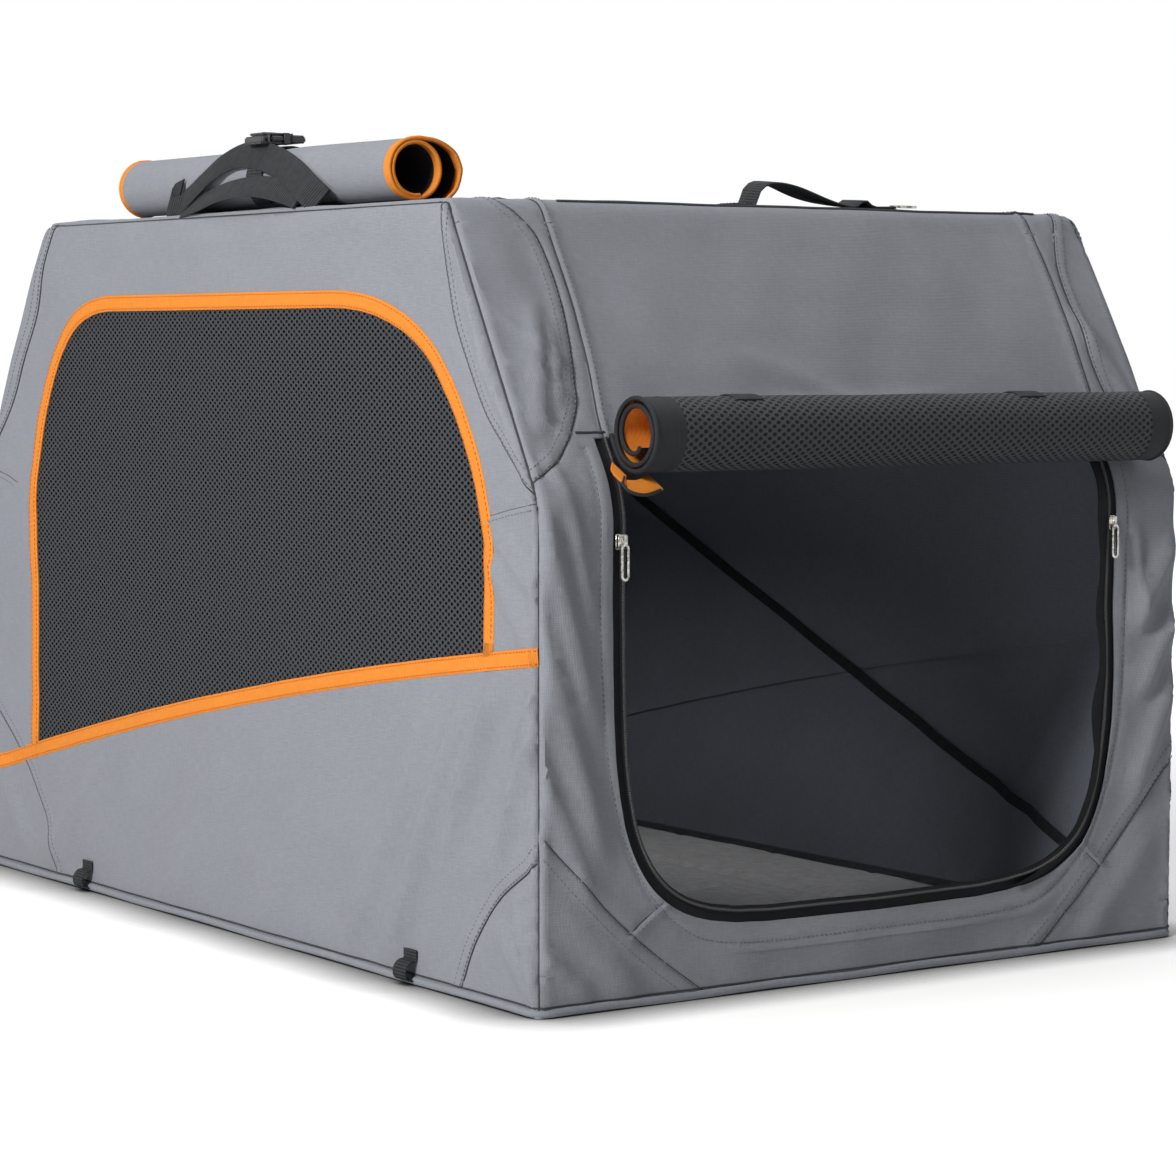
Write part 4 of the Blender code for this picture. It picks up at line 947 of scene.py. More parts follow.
def cloth(name, outline, holes, seams, place, relief, spacing=GRID, edges=True, cords=(), ridges=()):
    """A piece of sewn cloth on the skin, with its seams, stitches and edges. Returns the piece and its flat area."""
    edge_loops = [resampled(loop, spacing, closed=True) for loop in (outline, *holes)]
    rows = [row for s in seams for row in seam_rows(s)] + crest_rows(ridges)
    if edges:
        rows += [row for loop, turn in zip(edge_loops, [1] + [-1] * len(holes)) for row in inset_rows(loop, turn)]
    flat, faces = triangles(outline, holes, rows, spacing)

    def height(uv):
        return sum((lap(uv, s) for s in seams), relief(uv))

    batch = Batch()
    area = batch.shell(flat, faces, place, height(flat), CLOTH)
    for s in seams:
        # Each seam's dark cord is painted shade: the line of shade in its fold.
        for line in kept(resampled(s["path"], SEAM_STEP), outline, holes) if s["cord"] else ():
            batch.tube(place(line, height(line) + 0.0001), s["cord"], 2)
        for offset in s["rows"]:
            for line in kept(resampled(sideways(s["path"], offset), SEAM_STEP), outline, holes):
                batch.stitches(place(line, height(line) + 0.00005), 3)
    # The other dark cords are painted shade lines along edges and seams.
    for path, radius in cords:
        line = resampled(path, SEAM_STEP)
        batch.tube(place(line, height(line) + 0.0002), radius, 2)
    return batch.build(name, SKIN), area


def plain_sheet(name, outline, spacing, place, lift, thickness, materials):
    """A sheet with no seams, lifted off the skin by a function of its flat place."""
    flat, faces = triangles(outline, [], [], spacing)
    batch = Batch()
    area = batch.shell(flat, faces, place, lift(flat), thickness)
    return batch.build(name, materials), area


def bound_tape(name, line, extra, place, relief, closed=False):
    """Orange tape sewn along a flat line with two rows of stitches."""
    batch = Batch()
    batch.strip(line, [(-u, w + extra) for u, w in TAPE_PROFILE], place, relief, 0, closed)
    for offset in TAPE_STITCHES:
        row = sideways(line, offset, closed)
        batch.stitches(place(row, relief(row) + (0.0014 + extra)), 1)
    return batch.build(name, (ORANGE, ORANGE_THREAD))


def zip_piece(name, line, profile, coil_offset, coil_lift, coil_radius, place, relief, closed=False, more=None):
    """A zip along a flat line: its tape, its coil, and what a function adds to them."""
    batch = Batch()
    batch.strip(line, profile, place, relief, 0, closed)
    coil = sideways(line, coil_offset, closed)
    batch.tube(place(coil, relief(coil) + coil_lift), coil_radius, 1, sides=8, closed=closed)
    if more:
        more(batch)
    return batch.build(name, (TAPE, COIL))


def inset_rows(loop, turn):
    """Rows beside a closed edge, on the cloth's own side of it."""
    wise = 1 if signed_area(loop) > 0 else -1
    return [np.vstack([r, r[:1]]) for r in (sideways(loop, d * turn * wise, closed=True)
                                            for d in (0.0022, 0.005, 0.009))]


def signed_area(loop):
    x, y = np.asarray(loop).T
    return float((x * np.roll(y, -1) - np.roll(x, -1) * y).sum() / 2)


def dress(piece, slot, body=None, replaced=(), crumples=False, presses=None, sheet=None, held="stretched"):
    """Says what a piece rides on, how it gives way to the fold, what it stands for, its material slot, and where it
    is a sheet, its (area, flat size, what it rests on). Cloth on the sides crumples down as the crate folds, and what
    lies on the front slope is pressed against a (direction, foot)."""
    if body:
        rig.ride(piece, body)
    if crumples:
        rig.squash(piece, "fold", axis=(0, 0, 1), anchor=(0, 0, 0.003), keep=0.30)
    if presses:
        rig.squash(piece, "fold", axis=presses[0], anchor=presses[1], keep=0.25)
    if replaced:
        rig.replaces(piece, *replaced)
    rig.slot(piece, slot)
    if sheet:
        area, flat, rests_on = sheet
        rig.sheet(piece, flat=flat, held=held, rests_on=rests_on, area=area, with_pieces=[])


# Side walls

SIDE_FOLDS = [((-0.360, 0.215), (-0.250, 0.020), 0.013, 0.0046), ((-0.405, 0.235), (-0.330, 0.105), 0.010, 0.0042),
              ((-0.300, 0.190), (-0.190, 0.015), 0.018, 0.0030), ((-0.449, 0.205), (-0.405, 0.110), 0.007, 0.0034),
              ((-0.150, 0.160), (-0.060, 0.010), 0.024, 0.0022),
              ((0.02, 0.130), (0.110, 0.010), 0.026, 0.0018), ((0.250, 0.100), (0.330, 0.020), 0.016, 0.0022),
              ((-0.425, 0.075), (-0.449, 0.020), 0.007, 0.0030), ((-0.400, 0.060), (-0.445, 0.010), 0.009, 0.0020),
              ((0.44, 0.110), (0.38, 0.030), 0.012, 0.0024), ((-0.395, 0.340), (-0.449, 0.300), 0.007, 0.0022),
              ((-0.390, 0.320), (-0.440, 0.262), 0.008, 0.0020), ((-0.345, 0.560), (-0.395, 0.440), 0.010, 0.0022),
              ((-0.372, 0.500), (-0.412, 0.420), 0.007, 0.0016), ((-0.25, 0.567), (0.05, 0.556), 0.009, 0.0012),
              ((0.33, 0.545), (0.42, 0.410), 0.012, 0.0022), ((-0.449, 0.230), (-0.420, 0.190), 0.005, 0.0020),
              ((-0.449, 0.092), (-0.418, 0.080), 0.0045, 0.0012), ((-0.449, 0.074), (-0.424, 0.058), 0.0045, 0.0013),
              ((-0.449, 0.056), (-0.428, 0.048), 0.0040, 0.0010), ((-0.449, 0.132), (-0.405, 0.160), 0.0060, 0.0009)]


def side_relief(uv, strength):
    """The side's soft folds and swell. It is calmer on the taut window and dies out at the crate's edges."""
    edge = np.abs(signed_distance(uv, SIDE_OUTLINE[2:] + SIDE_OUTLINE[:1], closed=False))
    edge = np.minimum(edge, np.abs(HALF_LENGTH - uv[:, 0]))
    fade = smooth_step(edge / 0.010) * smooth_step((uv[:, 1] - FLOOR) / 0.015)
    inner = within(uv, WINDOW_PATH)
    depth = np.abs(signed_distance(uv, WINDOW_PATH, closed=True))
    calm = np.where(inner, 1 - 0.75 * smooth_step(depth / 0.05), 1.0)
    swell = ripples(uv, 3, 22, 0.30, 0.035, 0.0020)
    belly = -0.0035 * np.where(inner, smooth_step(depth / 0.12), 0.0)
    return fade * (calm * (strength * folds(uv, SIDE_FOLDS) + swell) + belly) + puffed(edge)


SIDE_SEAMS = [seam([(-0.455, 0.362), (-0.434, 0.378), (-0.404, 0.405), (-0.382, 0.427), (-0.349, 0.479),
                    (-0.336, 0.516), (-0.322, 0.585)]),
              seam([(0.303, 0.585), (0.323, 0.546), (0.343, 0.504), (0.377, 0.451), (0.407, 0.406), (0.458, 0.362)]),
              seam([(-0.455, 0.118), (-0.440, 0.104), (-0.401, 0.079), (-0.372, 0.046), (-0.351, 0.013),
                    (-0.348, -0.004)], **SIDE_CORNER_SEAM),
              seam([(0.316, -0.004), (0.318, 0.021), (0.334, 0.052), (0.370, 0.094), (0.427, 0.140), (0.455, 0.150)],
                   **SIDE_CORNER_SEAM),
              seam([(-0.381, 0.3505), (-0.412, 0.357), (-0.455, 0.364)], **KNEE_DART),
              seam([(0.455, 0.364), (0.412, 0.357), (0.388, 0.3505)], **KNEE_DART)]

TAPE_PROFILE = [(0.0, -0.0010), (-0.0002, 0.0002), (0.0012, 0.0011), (0.0035, 0.0014), (0.0065, 0.0015),
                (0.0095, 0.0014), (0.0118, 0.0011), (0.0132, 0.0002), (0.0130, -0.0010)]
TAPE_STITCHES = (-0.0018, -0.0112)

LEFT_FOLDS_SHARE, RIGHT_FOLDS_SHARE = 2.4, 1.0
BRACE_WIDTH, BRACE_THICKNESS, BRACE_INSET = 0.010, 0.0012, 0.0105
BRACE_FRONT = (-HALF_LENGTH + 0.108, 0.060)
BRACE_REAR = (HALF_LENGTH - 0.140, 0.345)
LOOP_WIDTH, LOOP_THICKNESS = 0.018, 0.0013
LOOP_PLACES = (("front", -HALF_LENGTH + 0.170), ("rear", HALF_LENGTH - 0.195))
NET_SEAM, NET_INSET = 0.003, 0.0006
FLAP_SEAM, FLAP_SPACING = 0.020, 0.014


def side(name, sign):
    """One side wall: its cloth, net, orange tapes, brace and tie loops."""
    place = wall(sign)

    def relief(uv):
        return side_relief(uv, LEFT_FOLDS_SHARE if sign < 0 else RIGHT_FOLDS_SHARE)

    def on_base(piece, slot, replaced=(), sheet=None):
        dress(piece, slot, "base", replaced, crumples=True, sheet=sheet)

    opening = sideways(WINDOW_PATH, -(BINDING - 0.002), closed=True)
    edge = SIDE_OUTLINE[:1] + SIDE_OUTLINE[:0:-1]
    foot = [(-HALF_LENGTH, FOOT_SEAM), (HALF_LENGTH, FOOT_SEAM)]
    # The cords along the wall's edges and foot are painted shade lines.
    piece, area = cloth(f"side_cloth_{name}", SIDE_OUTLINE, [opening], SIDE_SEAMS, place, relief, ridges=SIDE_FOLDS,
                        cords=[(edge[1:5], 0.0010), (edge[:2], 0.0005), (edge[4:], 0.0005), (foot, 0.0007)])
    on_base(piece, "grey_cloth", [f"side_wall_{name}"], (area, (2 * HALF_LENGTH, HEIGHT), ["floor_panel"]))

    window = (WINDOW_REAR - WINDOW_FRONT, WINDOW_TOP - WINDOW_REAR_SILL)
    net, area = plain_sheet(f"window_net_{name}", sideways(WINDOW_PATH, -NET_SEAM, closed=True), GRID, place,
                            lambda uv: relief(uv) - NET_INSET, NET, (WINDOW, WINDOW))
    on_base(net, "window_mesh", [f"window_mesh_{name}"],
            (area, (window[0] + 0.006, window[1] + 0.03), [f"side_cloth_{name}"]))

    def behind_net(uv):
        depth = signed_distance(uv, WINDOW_PATH, closed=True)
        return relief(uv) - 0.0032 - 0.0050 * smooth_step((depth + 0.006) / 0.020)

    if sign > 0:
        # The dark lining flap that is closed over the inside of the right window
        flap, area = plain_sheet(f"window_flap_{name}", sideways(WINDOW_PATH, -FLAP_SEAM, closed=True), FLAP_SPACING,
                                 place, behind_net, NET, (BLACK_CLOTH, LINING))
        on_base(flap, "black_mesh", sheet=(area, (window[0] + 0.040, window[1] + 0.06), [f"side_cloth_{name}"]))

    on_base(bound_tape(f"window_tape_{name}", WINDOW_PATH, 0.0, place, relief, closed=True), "orange_binding",
            [f"window_binding_{name}"])
    for end, start, stop in (("front", -HALF_LENGTH + 0.001, WINDOW_FRONT - 0.004),
                             ("rear", WINDOW_REAR + 0.004, HALF_LENGTH - 0.001)):
        line = resampled([sill_point(start + (stop - start) * k / 12) for k in range(13)], TAPE_STEP)
        on_base(bound_tape(f"sweep_band_{name}_{end}", line, 0.0002, place, relief), "orange_binding",
                [f"side_band_{name}_{end}"])

    line = resampled([BRACE_FRONT, BRACE_REAR], 0.012)
    batch = Batch()
    batch.tape(place(line, relief(line) - BRACE_INSET), (0.0, -0.40, 0.91), BRACE_WIDTH, BRACE_THICKNESS, 0)
    on_base(batch.build(f"brace_{name}", (WEBBING,)), "black_webbing", [f"brace_tape_{name}"])
    for end, y in LOOP_PLACES:
        tie_loop(f"{name}_{end}", sign, y)


def tie_loop(name, sign, y):
    """A loop of webbing sewn under the wall's foot. It stands out and droops a little."""
    root = sign * (HALF_WIDTH + 0.0005)
    section = [(0.0, 0.0030), (0.0040, 0.0032), (0.0085, 0.0050), (0.0100, 0.0092), (0.0088, 0.0138),
               (0.0052, 0.0172), (0.0008, 0.0182), (0.0003, 0.0215), (0.0003, 0.0260)]
    batch = Batch()
    path = smoothed([(root + sign * u, y, z) for u, z in section], 0.0015)
    batch.tape(path, (0, 1, 0), LOOP_WIDTH, LOOP_THICKNESS, 0)
    dress(batch.build(f"loop_{name}", (WEBBING,)), "black_webbing", "base", [f"tie_loop_{name}"])


for side_name, side_sign in SIDES:
    side(side_name, side_sign)


# Front and rear ends

HEM_TOP = 0.030
TOP_STRIP = 0.020

FRONT_FOLDS = [((-0.292, 0.510), (-0.248, 0.470), 0.0060, 0.0018), ((-0.294, 0.474), (-0.250, 0.446), 0.0050, 0.0014),
               ((-0.297, 0.442), (-0.262, 0.412), 0.0050, 0.0014), ((-0.276, 0.575), (-0.276, 0.435), 0.020, 0.0010),
               ((-0.300, 0.350), (-0.262, 0.215), 0.009, 0.0042), ((-0.300, 0.265), (-0.255, 0.120), 0.010, 0.0044),
               ((-0.303, 0.175), (-0.262, 0.085), 0.008, 0.0030), ((-0.285, 0.392), (-0.262, 0.290), 0.006, 0.0024),
               ((-0.285, 0.075), (-0.225, 0.012), 0.012, 0.0026), ((-0.300, 0.045), (-0.262, 0.012), 0.007, 0.0022),
               ((0.298, 0.318), (0.264, 0.258), 0.010, 0.0050), ((0.301, 0.258), (0.268, 0.200), 0.009, 0.0046),
               ((0.299, 0.205), (0.262, 0.120), 0.009, 0.0040), ((0.262, 0.330), (0.268, 0.250), 0.005, 0.0022),
               ((0.280, 0.085), (0.215, 0.012), 0.012, 0.0024), ((-0.262, 0.515), (-0.285, 0.420), 0.008, 0.0028),
               ((-0.250, 0.500), (-0.262, 0.440), 0.005, 0.0016), ((-0.170, 0.585), (-0.060, 0.500), 0.016, 0.0005),
               ((-0.080, 0.480), (0.010, 0.437), 0.009, 0.0016), ((-0.100, 0.436), (0.100, 0.446), 0.006, 0.0012),
               ((0.120, 0.575), (0.200, 0.480), 0.016, 0.0006), ((0.262, 0.510), (0.290, 0.430), 0.008, 0.0026),
               ((-0.130, 0.034), (0.060, 0.026), 0.008, 0.0014), ((0.040, 0.030), (0.190, 0.040), 0.008, 0.0012)]

DOOR_SEAM_LEFT = [(-0.252, 0.405), (-0.252, 0.388), (-0.2515, 0.266), (-0.243, 0.165), (-0.221, 0.098),
                  (-0.180, 0.053), (-0.127, 0.0375)]

FRONT_SEAMS = [seam([(-0.310, 0.376), (-0.291, 0.387), (-0.272, 0.402), (-0.249, 0.436), (-0.241, 0.468),
                     (-0.235, 0.507), (-0.233, 0.546), (-0.236, 0.579), (-0.248, 0.598), (-0.258, 0.610),
                     (-0.262, 0.630)], **SHOULDER_SEAM),
               seam([(-0.226, 0.640), (-0.223, 0.546), (-0.227, 0.468), (-0.232, 0.429), (-0.2325, 0.410)],
                    **INNER_SEAM),
               seam([(0.284, 0.640), (0.280, 0.613), (0.262, 0.560), (0.260, 0.513), (0.262, 0.450),
                     (0.275, 0.415), (0.292, 0.394), (0.310, 0.380)], **SHOULDER_SEAM),
               seam([(0.246, 0.410), (0.248, 0.452), (0.249, 0.493), (0.249, 0.552), (0.246, 0.640)], **INNER_SEAM),
               seam([(-0.310, 0.120), (-0.303, 0.112), (-0.252, 0.060), (-0.208, 0.024), (-0.168, -0.004)],
                    **END_CORNER_SEAM, cord=0.0005, over=True),
               seam([(0.150, -0.004), (0.186, 0.025), (0.238, 0.075), (0.300, 0.142), (0.310, 0.153)],
                    **END_CORNER_SEAM),
               seam([(-0.196, 0.0745), (-0.2115, 0.0640), (-0.228, 0.053)], **CORNER_DART),
               seam([(0.200, 0.0850), (0.213, 0.0750), (0.226, 0.064)], **CORNER_DART),
               seam([*DOOR_SEAM_LEFT, (0.0, 0.036), *mirrored(DOOR_SEAM_LEFT)], width=0.010, height=0.0005,
                    rows=(0.0004,), cord=0)]

REAR_SHOULDER = [(-0.310, 0.375), (-0.272, 0.402), (-0.249, 0.436), (-0.238, 0.507), (-0.240, 0.579), (-0.262, 0.640)]
REAR_CORNER = [(-0.310, 0.140), (-0.238, 0.075), (-0.186, 0.025), (-0.150, -0.004)]
REAR_SEAMS = [seam(path, **kind) for left, kind in ((REAR_SHOULDER, SHOULDER_SEAM), (REAR_CORNER, END_CORNER_SEAM))
              for path in (left, mirrored(left))] + [seam([(-0.310, KNEE), (0.310, KNEE)])]


def hinge_bumps(uv):
    """Where the frame's knee hinges push the cloth out."""
    x, s = uv.T
    height, spread, hinge_x = 0.0046, 0.016, 0.287
    return height * np.exp(-((s - KNEE) / spread) ** 2 - ((np.abs(x) - hinge_x) / spread) ** 2)


def end_edges(uv):
    """The roll of the cloth beside an end's side seams."""
    return puffed(HALF_WIDTH - np.abs(uv[:, 0]))


def front_relief(uv):
    """The front's soft folds and swell, shared by its cloth strips so that they meet."""
    x, s = uv.T
    fade = smooth_step((HALF_WIDTH - np.abs(x)) / 0.009) * smooth_step(s / 0.012)
    top = 1 - 0.75 * np.exp(-((s - TOP_EDGE) / 0.018) ** 2)
    knee = 1 - 0.5 * np.exp(-((s - KNEE) / 0.015) ** 2)
    soft = 1.7 * folds(uv, FRONT_FOLDS) + ripples(uv, 11, 20, 0.26, 0.040, 0.0018)
    return fade * top * knee * soft + hinge_bumps(uv) + end_edges(uv)


def rear_relief(uv):
    """The rear's soft folds and swell."""
    x, s = uv.T
    fade = smooth_step((HALF_WIDTH - np.abs(x)) / 0.018) * smooth_step(s / 0.012)
    top = 1 - 0.75 * np.exp(-((s - TOP_EDGE) / 0.018) ** 2)
    soft = [((-0.270, 0.120), (-0.180, 0.020), 0.014, 0.0018), ((0.265, 0.130), (0.180, 0.020), 0.014, 0.0018),
            ((-0.100, 0.330), (0.120, 0.200), 0.030, 0.0016), ((0.150, 0.560), (0.050, 0.450), 0.020, 0.0014)]
    return fade * top * (folds(uv, soft) + ripples(uv, 23, 20, 0.30, 0.045, 0.0020)) + hinge_bumps(uv) + end_edges(uv)


def piece_box(x0, x1, s0, s1):
    return [(x0, s0), (x1, s0), (x1, s1), (x0, s1)]


def at_belt(side, s):
    return tuple(belt(side)(np.array([[0.0, s]]), np.zeros(1))[0])


def end_cloth(name, side, low, high, seams, follows, replaced, rests_on, flat_height, holes=(), **more):
    """A strip of cloth across one end, between two distances up it. It bends from one body to the next one, as
    (body, next body, start, end) says."""
    place, relief = (front_belt, front_relief) if side < 0 else (rear_belt, rear_relief)
    piece, area = cloth(name, piece_box(-HALF_WIDTH, HALF_WIDTH, low, high), holes, seams, place, relief, **more)
    body, next_body, start, end = follows
    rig.blend(piece, body, next_body, start=start, end=end)
    dress(piece, "grey_cloth", replaced=replaced, sheet=(area, (2 * HALF_WIDTH, flat_height), [rests_on]))


def near(side, s, reach):
    """Where a blend starts and ends, about a distance up an end."""
    return at_belt(side, s - reach), at_belt(side, s + reach)


def skirt(end, side, seams):
    # The cord along the foot seam is a painted shade line.
    end_cloth(f"{end}_skirt", side, FLOOR, HEM_TOP, seams,
              ("base", f"{end}_lower", (0, side * HALF_LENGTH, 0.003), (0, side * HALF_LENGTH, 0.028)),
              [f"{end}_hem"], "floor_panel", HEM_TOP - FLOOR + 0.0001, spacing=SKIRT_SPACING, edges=False,
              cords=[([(-HALF_WIDTH, FOOT_SEAM), (HALF_WIDTH, FOOT_SEAM)], 0.0007)])


KNEE_REACH, TOP_REACH = 0.018, 0.014
SKIRT_SPACING, BROW_SPACING = 0.006, 0.005
REAR_GAP = 0.004
DOOR_HOLE = [*map(tuple, DOOR_PATH)][::-1]

skirt("front", -1, FRONT_SEAMS[4:6])
# The short cord under the placket is a painted shade line.
end_cloth("front_cloth", -1, HEM_TOP, TOP_EDGE - TOP_STRIP, FRONT_SEAMS,
          ("front_lower", "front_upper", *near(-1, KNEE, KNEE_REACH)),
          ["front_lower_panel", "front_upper_panel", "front_knee_strip_left", "front_knee_strip_right"], "front_skirt",
          TOP_EDGE - TOP_STRIP - HEM_TOP, [DOOR_HOLE], cords=[([(-0.256, 0.418), (-0.231, 0.418)], 0.0009)],
          ridges=FRONT_FOLDS)
# The cord along the top edge is a painted shade line.
end_cloth("front_brow", -1, TOP_EDGE - TOP_STRIP, TOP_EDGE + TOP_STRIP, FRONT_SEAMS[:4],
          ("front_upper", "roof", *near(-1, TOP_EDGE, TOP_REACH)), (), "front_cloth", 2 * TOP_STRIP,
          spacing=BROW_SPACING, edges=False,
          cords=[([(-0.205, TOP_EDGE + 0.004), (0.262, TOP_EDGE + 0.004)], 0.0014)])
skirt("rear", 1, REAR_SEAMS[2:4])
end_cloth("rear_cloth", 1, HEM_TOP, TOP_EDGE - REAR_GAP, REAR_SEAMS,
          ("rear_lower", "rear_upper", *near(1, KNEE, KNEE_REACH)),
          ["rear_lower_panel", "rear_upper_panel", "rear_knee_strip"], "rear_skirt", TOP_EDGE - REAR_GAP - HEM_TOP)


# Door zip

def waving_flap(batch):
    """The narrow black flap that waves along the right run of the door's zip."""
    line = resampled(DOOR_PATH, ZIP_STEP)
    right = line[(line[:, 0] > 0.150) & (line[:, 1] > 0.050)]
    along = run_lengths(right)
    reach = 0.0085 + 0.0035 * np.sin(along * 62) * np.sin(along * 23 + 1.0)
    rise = 0.0012 + 0.0016 * np.sin(along * 62 + 0.6)
    sections = []
    for offset, lift in ((0.0, -0.0004), (0.35, 0.0008), (0.7, 0.0016), (1.0, 0.0014), (1.0, 0.0006), (0.7, 0.0008),
                         (0.35, 0.0), (0.0, -0.0012)):
        edge = np.column_stack([right[:, 0] - 0.004 - offset * (reach + 0.006), right[:, 1]])
        sections.append(front_belt(edge, front_relief(edge) + lift + offset * rise - 0.0005))
    batch.rows(np.array(sections).transpose(1, 0, 2), 0)


DOOR_TAPE = [(-0.002, -0.0030), (-0.002, -0.0018), (0.004, -0.0016), (0.0070, -0.0016), (0.0072, 0.0004),
             (0.0088, 0.0010), (0.0104, 0.0004), (0.0108, -0.0016), (0.0120, -0.0018), (0.0120, -0.0030)]

door_zip = zip_piece("door_zip", resampled(DOOR_PATH, ZIP_STEP), DOOR_TAPE, 0.0088, 0.0006, 0.0014, front_belt,
                     front_relief, more=waving_flap)
zip_start, zip_end = near(-1, KNEE, KNEE_REACH)
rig.blend(door_zip, "front_lower", "front_upper", start=zip_start, end=zip_end)
dress(door_zip, "black_zip", replaced=["door_zip_lower", "door_zip_upper_left", "door_zip_upper_right"])


# Roof

HATCH = (-(HALF_WIDTH - 0.083), HALF_WIDTH - 0.073, -ROOF_HALF + 0.063, ROOF_HALF - 0.104)
HATCH_CORNER = 0.030
HATCH_LAP = 0.001
ROOF_NET_INSET, ROOF_NET_SINK, ROOF_NET_SPACING = 0.0115, 0.0012, 0.009


def rounded_box(x0, x1, y0, y1, radius, steps=6):
    points = []
    for cx, cy, start in ((x1 - radius, y0 + radius, -90), (x1 - radius, y1 - radius, 0),
                          (x0 + radius, y1 - radius, 90), (x0 + radius, y0 + radius, 180)):
        for k in range(steps + 1):
            a = math.radians(start + 90 * k / steps)
            points.append((cx + radius * math.cos(a), cy + radius * math.sin(a)))
    return points


def hatch(inset):
    x0, x1, y0, y1 = HATCH
    return rounded_box(x0 + inset, x1 - inset, y0 + inset, y1 - inset, HATCH_CORNER - inset)


def roof_relief(uv):
    """The roof's swell, with a sag in the hatch's net."""
    x, y = uv.T
    fade = smooth_step((HALF_WIDTH - np.abs(x)) / 0.020) * smooth_step((ROOF_HALF - np.abs(y)) / 0.020)
    inner = within(uv, hatch(0))
    depth = np.abs(signed_distance(uv, hatch(0), closed=True))
    sag = -0.004 * np.where(inner, smooth_step(depth / 0.12), 0.0)
    return fade * (ripples(uv, 31, 18, 0.30, 0.05, 0.0014) + sag) + end_edges(uv)


HATCH_TAPE = [(-0.001, -0.0030), (-0.001, -0.0016), (0.0035, -0.0014), (0.0046, -0.0014), (0.0050, 0.0000),
              (0.0062, 0.0004), (0.0074, 0.0000), (0.0078, -0.0014), (0.0125, -0.0014), (0.0125, -0.0030)]


def roof():
    front, rear = -ROOF_HALF + TOP_STRIP, ROOF_HALF
    seams = [seam([(-0.262, 0.34), (-0.250, 0.300), (-0.2515, 0.0), (-0.250, -0.300), (-0.262, -0.34)], **ROOF_SEAM),
             seam([(0.262, -0.34), (0.252, -0.300), (0.2535, 0.0), (0.252, 0.300), (0.262, 0.34)], **ROOF_SEAM)]
    piece, area = cloth("roof_cloth", piece_box(-HALF_WIDTH, HALF_WIDTH, front, rear), [hatch(HATCH_LAP)], seams,
                        roof_place, roof_relief)
    dress(piece, "grey_cloth", "roof", ["roof_panel"],
          sheet=(area, (2 * HALF_WIDTH, rear - front), ["front_brow", "rear_upper_hoop"]))
    net, area = plain_sheet("roof_net", hatch(ROOF_NET_INSET), ROOF_NET_SPACING, roof_place,
                            lambda uv: roof_relief(uv) - ROOF_NET_SINK, NET, (WINDOW, WINDOW))
    dress(net, "black_mesh", "roof", ["roof_mesh"],
          sheet=(area, (HATCH[1] - HATCH[0], HATCH[3] - HATCH[2]), ["roof_cloth"]))
    zipper = zip_piece("hatch_zip", resampled(hatch(0.0), TAPE_STEP, closed=True), HATCH_TAPE, 0.0062, 0.0002, 0.0013,
                       roof_place, roof_relief, closed=True)
    dress(zipper, "black_zip", "roof", ["roof_zip"])


roof()


# Floor and bottom edge

FLOOR_CORNER, FLOOR_SPACING, FLOOR_SINK, FLOOR_CLOTH = 0.004, 0.02, 0.0002, 0.0020
PIPING_RADIUS, PIPING_MIDDLE = 0.0030, 0.0036
FOOT_CORD_RADIUS, FOOT_CORD_MIDDLE = 0.0013, 0.0014


def foot_ring(out):
    """A closed line round the floor's edge, a distance outside it."""
    box = rounded_box(-HALF_WIDTH - out, HALF_WIDTH + out, -HALF_LENGTH - out, HALF_LENGTH + out, 0.012, 5)
    return resampled(box, 0.01, closed=True)


def floor_cloth():
    outline = rounded_box(-HALF_WIDTH, HALF_WIDTH, -HALF_LENGTH, HALF_LENGTH, FLOOR_CORNER, 3)
    piece, area = plain_sheet("floor_cloth", outline, FLOOR_SPACING, level,
                              lambda uv: np.full(len(uv), FLOOR - FLOOR_SINK), FLOOR_CLOTH, (LINING, BLACK_CLOTH))
    dress(piece, "grey_cloth", "base", ["floor_panel"], held="laid",
          sheet=(area, (2 * HALF_WIDTH, 2 * HALF_LENGTH), ["base_rail_left", "base_rail_right"]))
    ring, under = foot_ring(0.0006), foot_ring(-0.001)
    wobble = PIPING_MIDDLE + 0.0004 * np.sin(ring[:, 0] * 41 + ring[:, 1] * 29)
    batch = Batch()
    batch.tube(level(ring, wobble), PIPING_RADIUS, 0, sides=12, closed=True)
    batch.tube(level(under, np.full(len(under), FOOT_CORD_MIDDLE)), FOOT_CORD_RADIUS, 1, sides=8, closed=True)
    dress(batch.build("bottom_piping", (GREY, BLACK_CLOTH)), "grey_cloth", "base")


floor_cloth()


# Rigid parts and what rides on them

def finish_solids(material, *nodes):
    for node in nodes:
        materials = frame["nodes"][node].data.materials
        materials.clear()
        materials.append(material)


finish_solids(PAINT, "front_pivot_rod", "rear_pivot_rod", "base_rail_left", "base_rail_right", "front_leg_left",
              "front_leg_right", "front_upper_hoop", "rear_leg_left", "rear_leg_right", "rear_upper_hoop",
              "roof_rail_left", "roof_rail_right")
finish_solids(NICKEL, "door_pull_left", "door_pull_right", "roof_pull")

BLOCK_SHARP_DEG = 42


def blocks(name, boxes, material, body, replaced, slot):
    """A moulded or cast part of several rounded blocks, each (low corner, high corner, edge radius)."""
    shape = bmesh.new()
    for low, high, radius in boxes:
        made = bmesh.ops.create_cube(shape, size=1.0)["verts"]
        for v in made:
            v.co = Vector([a + (b - a) * (share + 0.5) for a, b, share in zip(low, high, v.co)])
        edges = {e for v in made for e in v.link_edges}
        bmesh.ops.bevel(shape, geom=list(edges), offset=radius, segments=3, affect="EDGES")
    bmesh.ops.recalc_face_normals(shape, faces=list(shape.faces))
    mesh = bpy.data.meshes.new(name)
    shape.to_mesh(mesh)
    shape.free()
    mesh.materials.append(material)
    dress(smooth_object(name, mesh, BLOCK_SHARP_DEG), slot, body, [replaced])


def across_both(low, high, radius, middle):
    """A block and its mirror image about y = middle."""
    return [((low[0], middle + low[1], low[2]), (high[0], middle + high[1], high[2]), radius),
            ((low[0], middle - high[1], low[2]), (high[0], middle - low[1], high[2]), radius)]


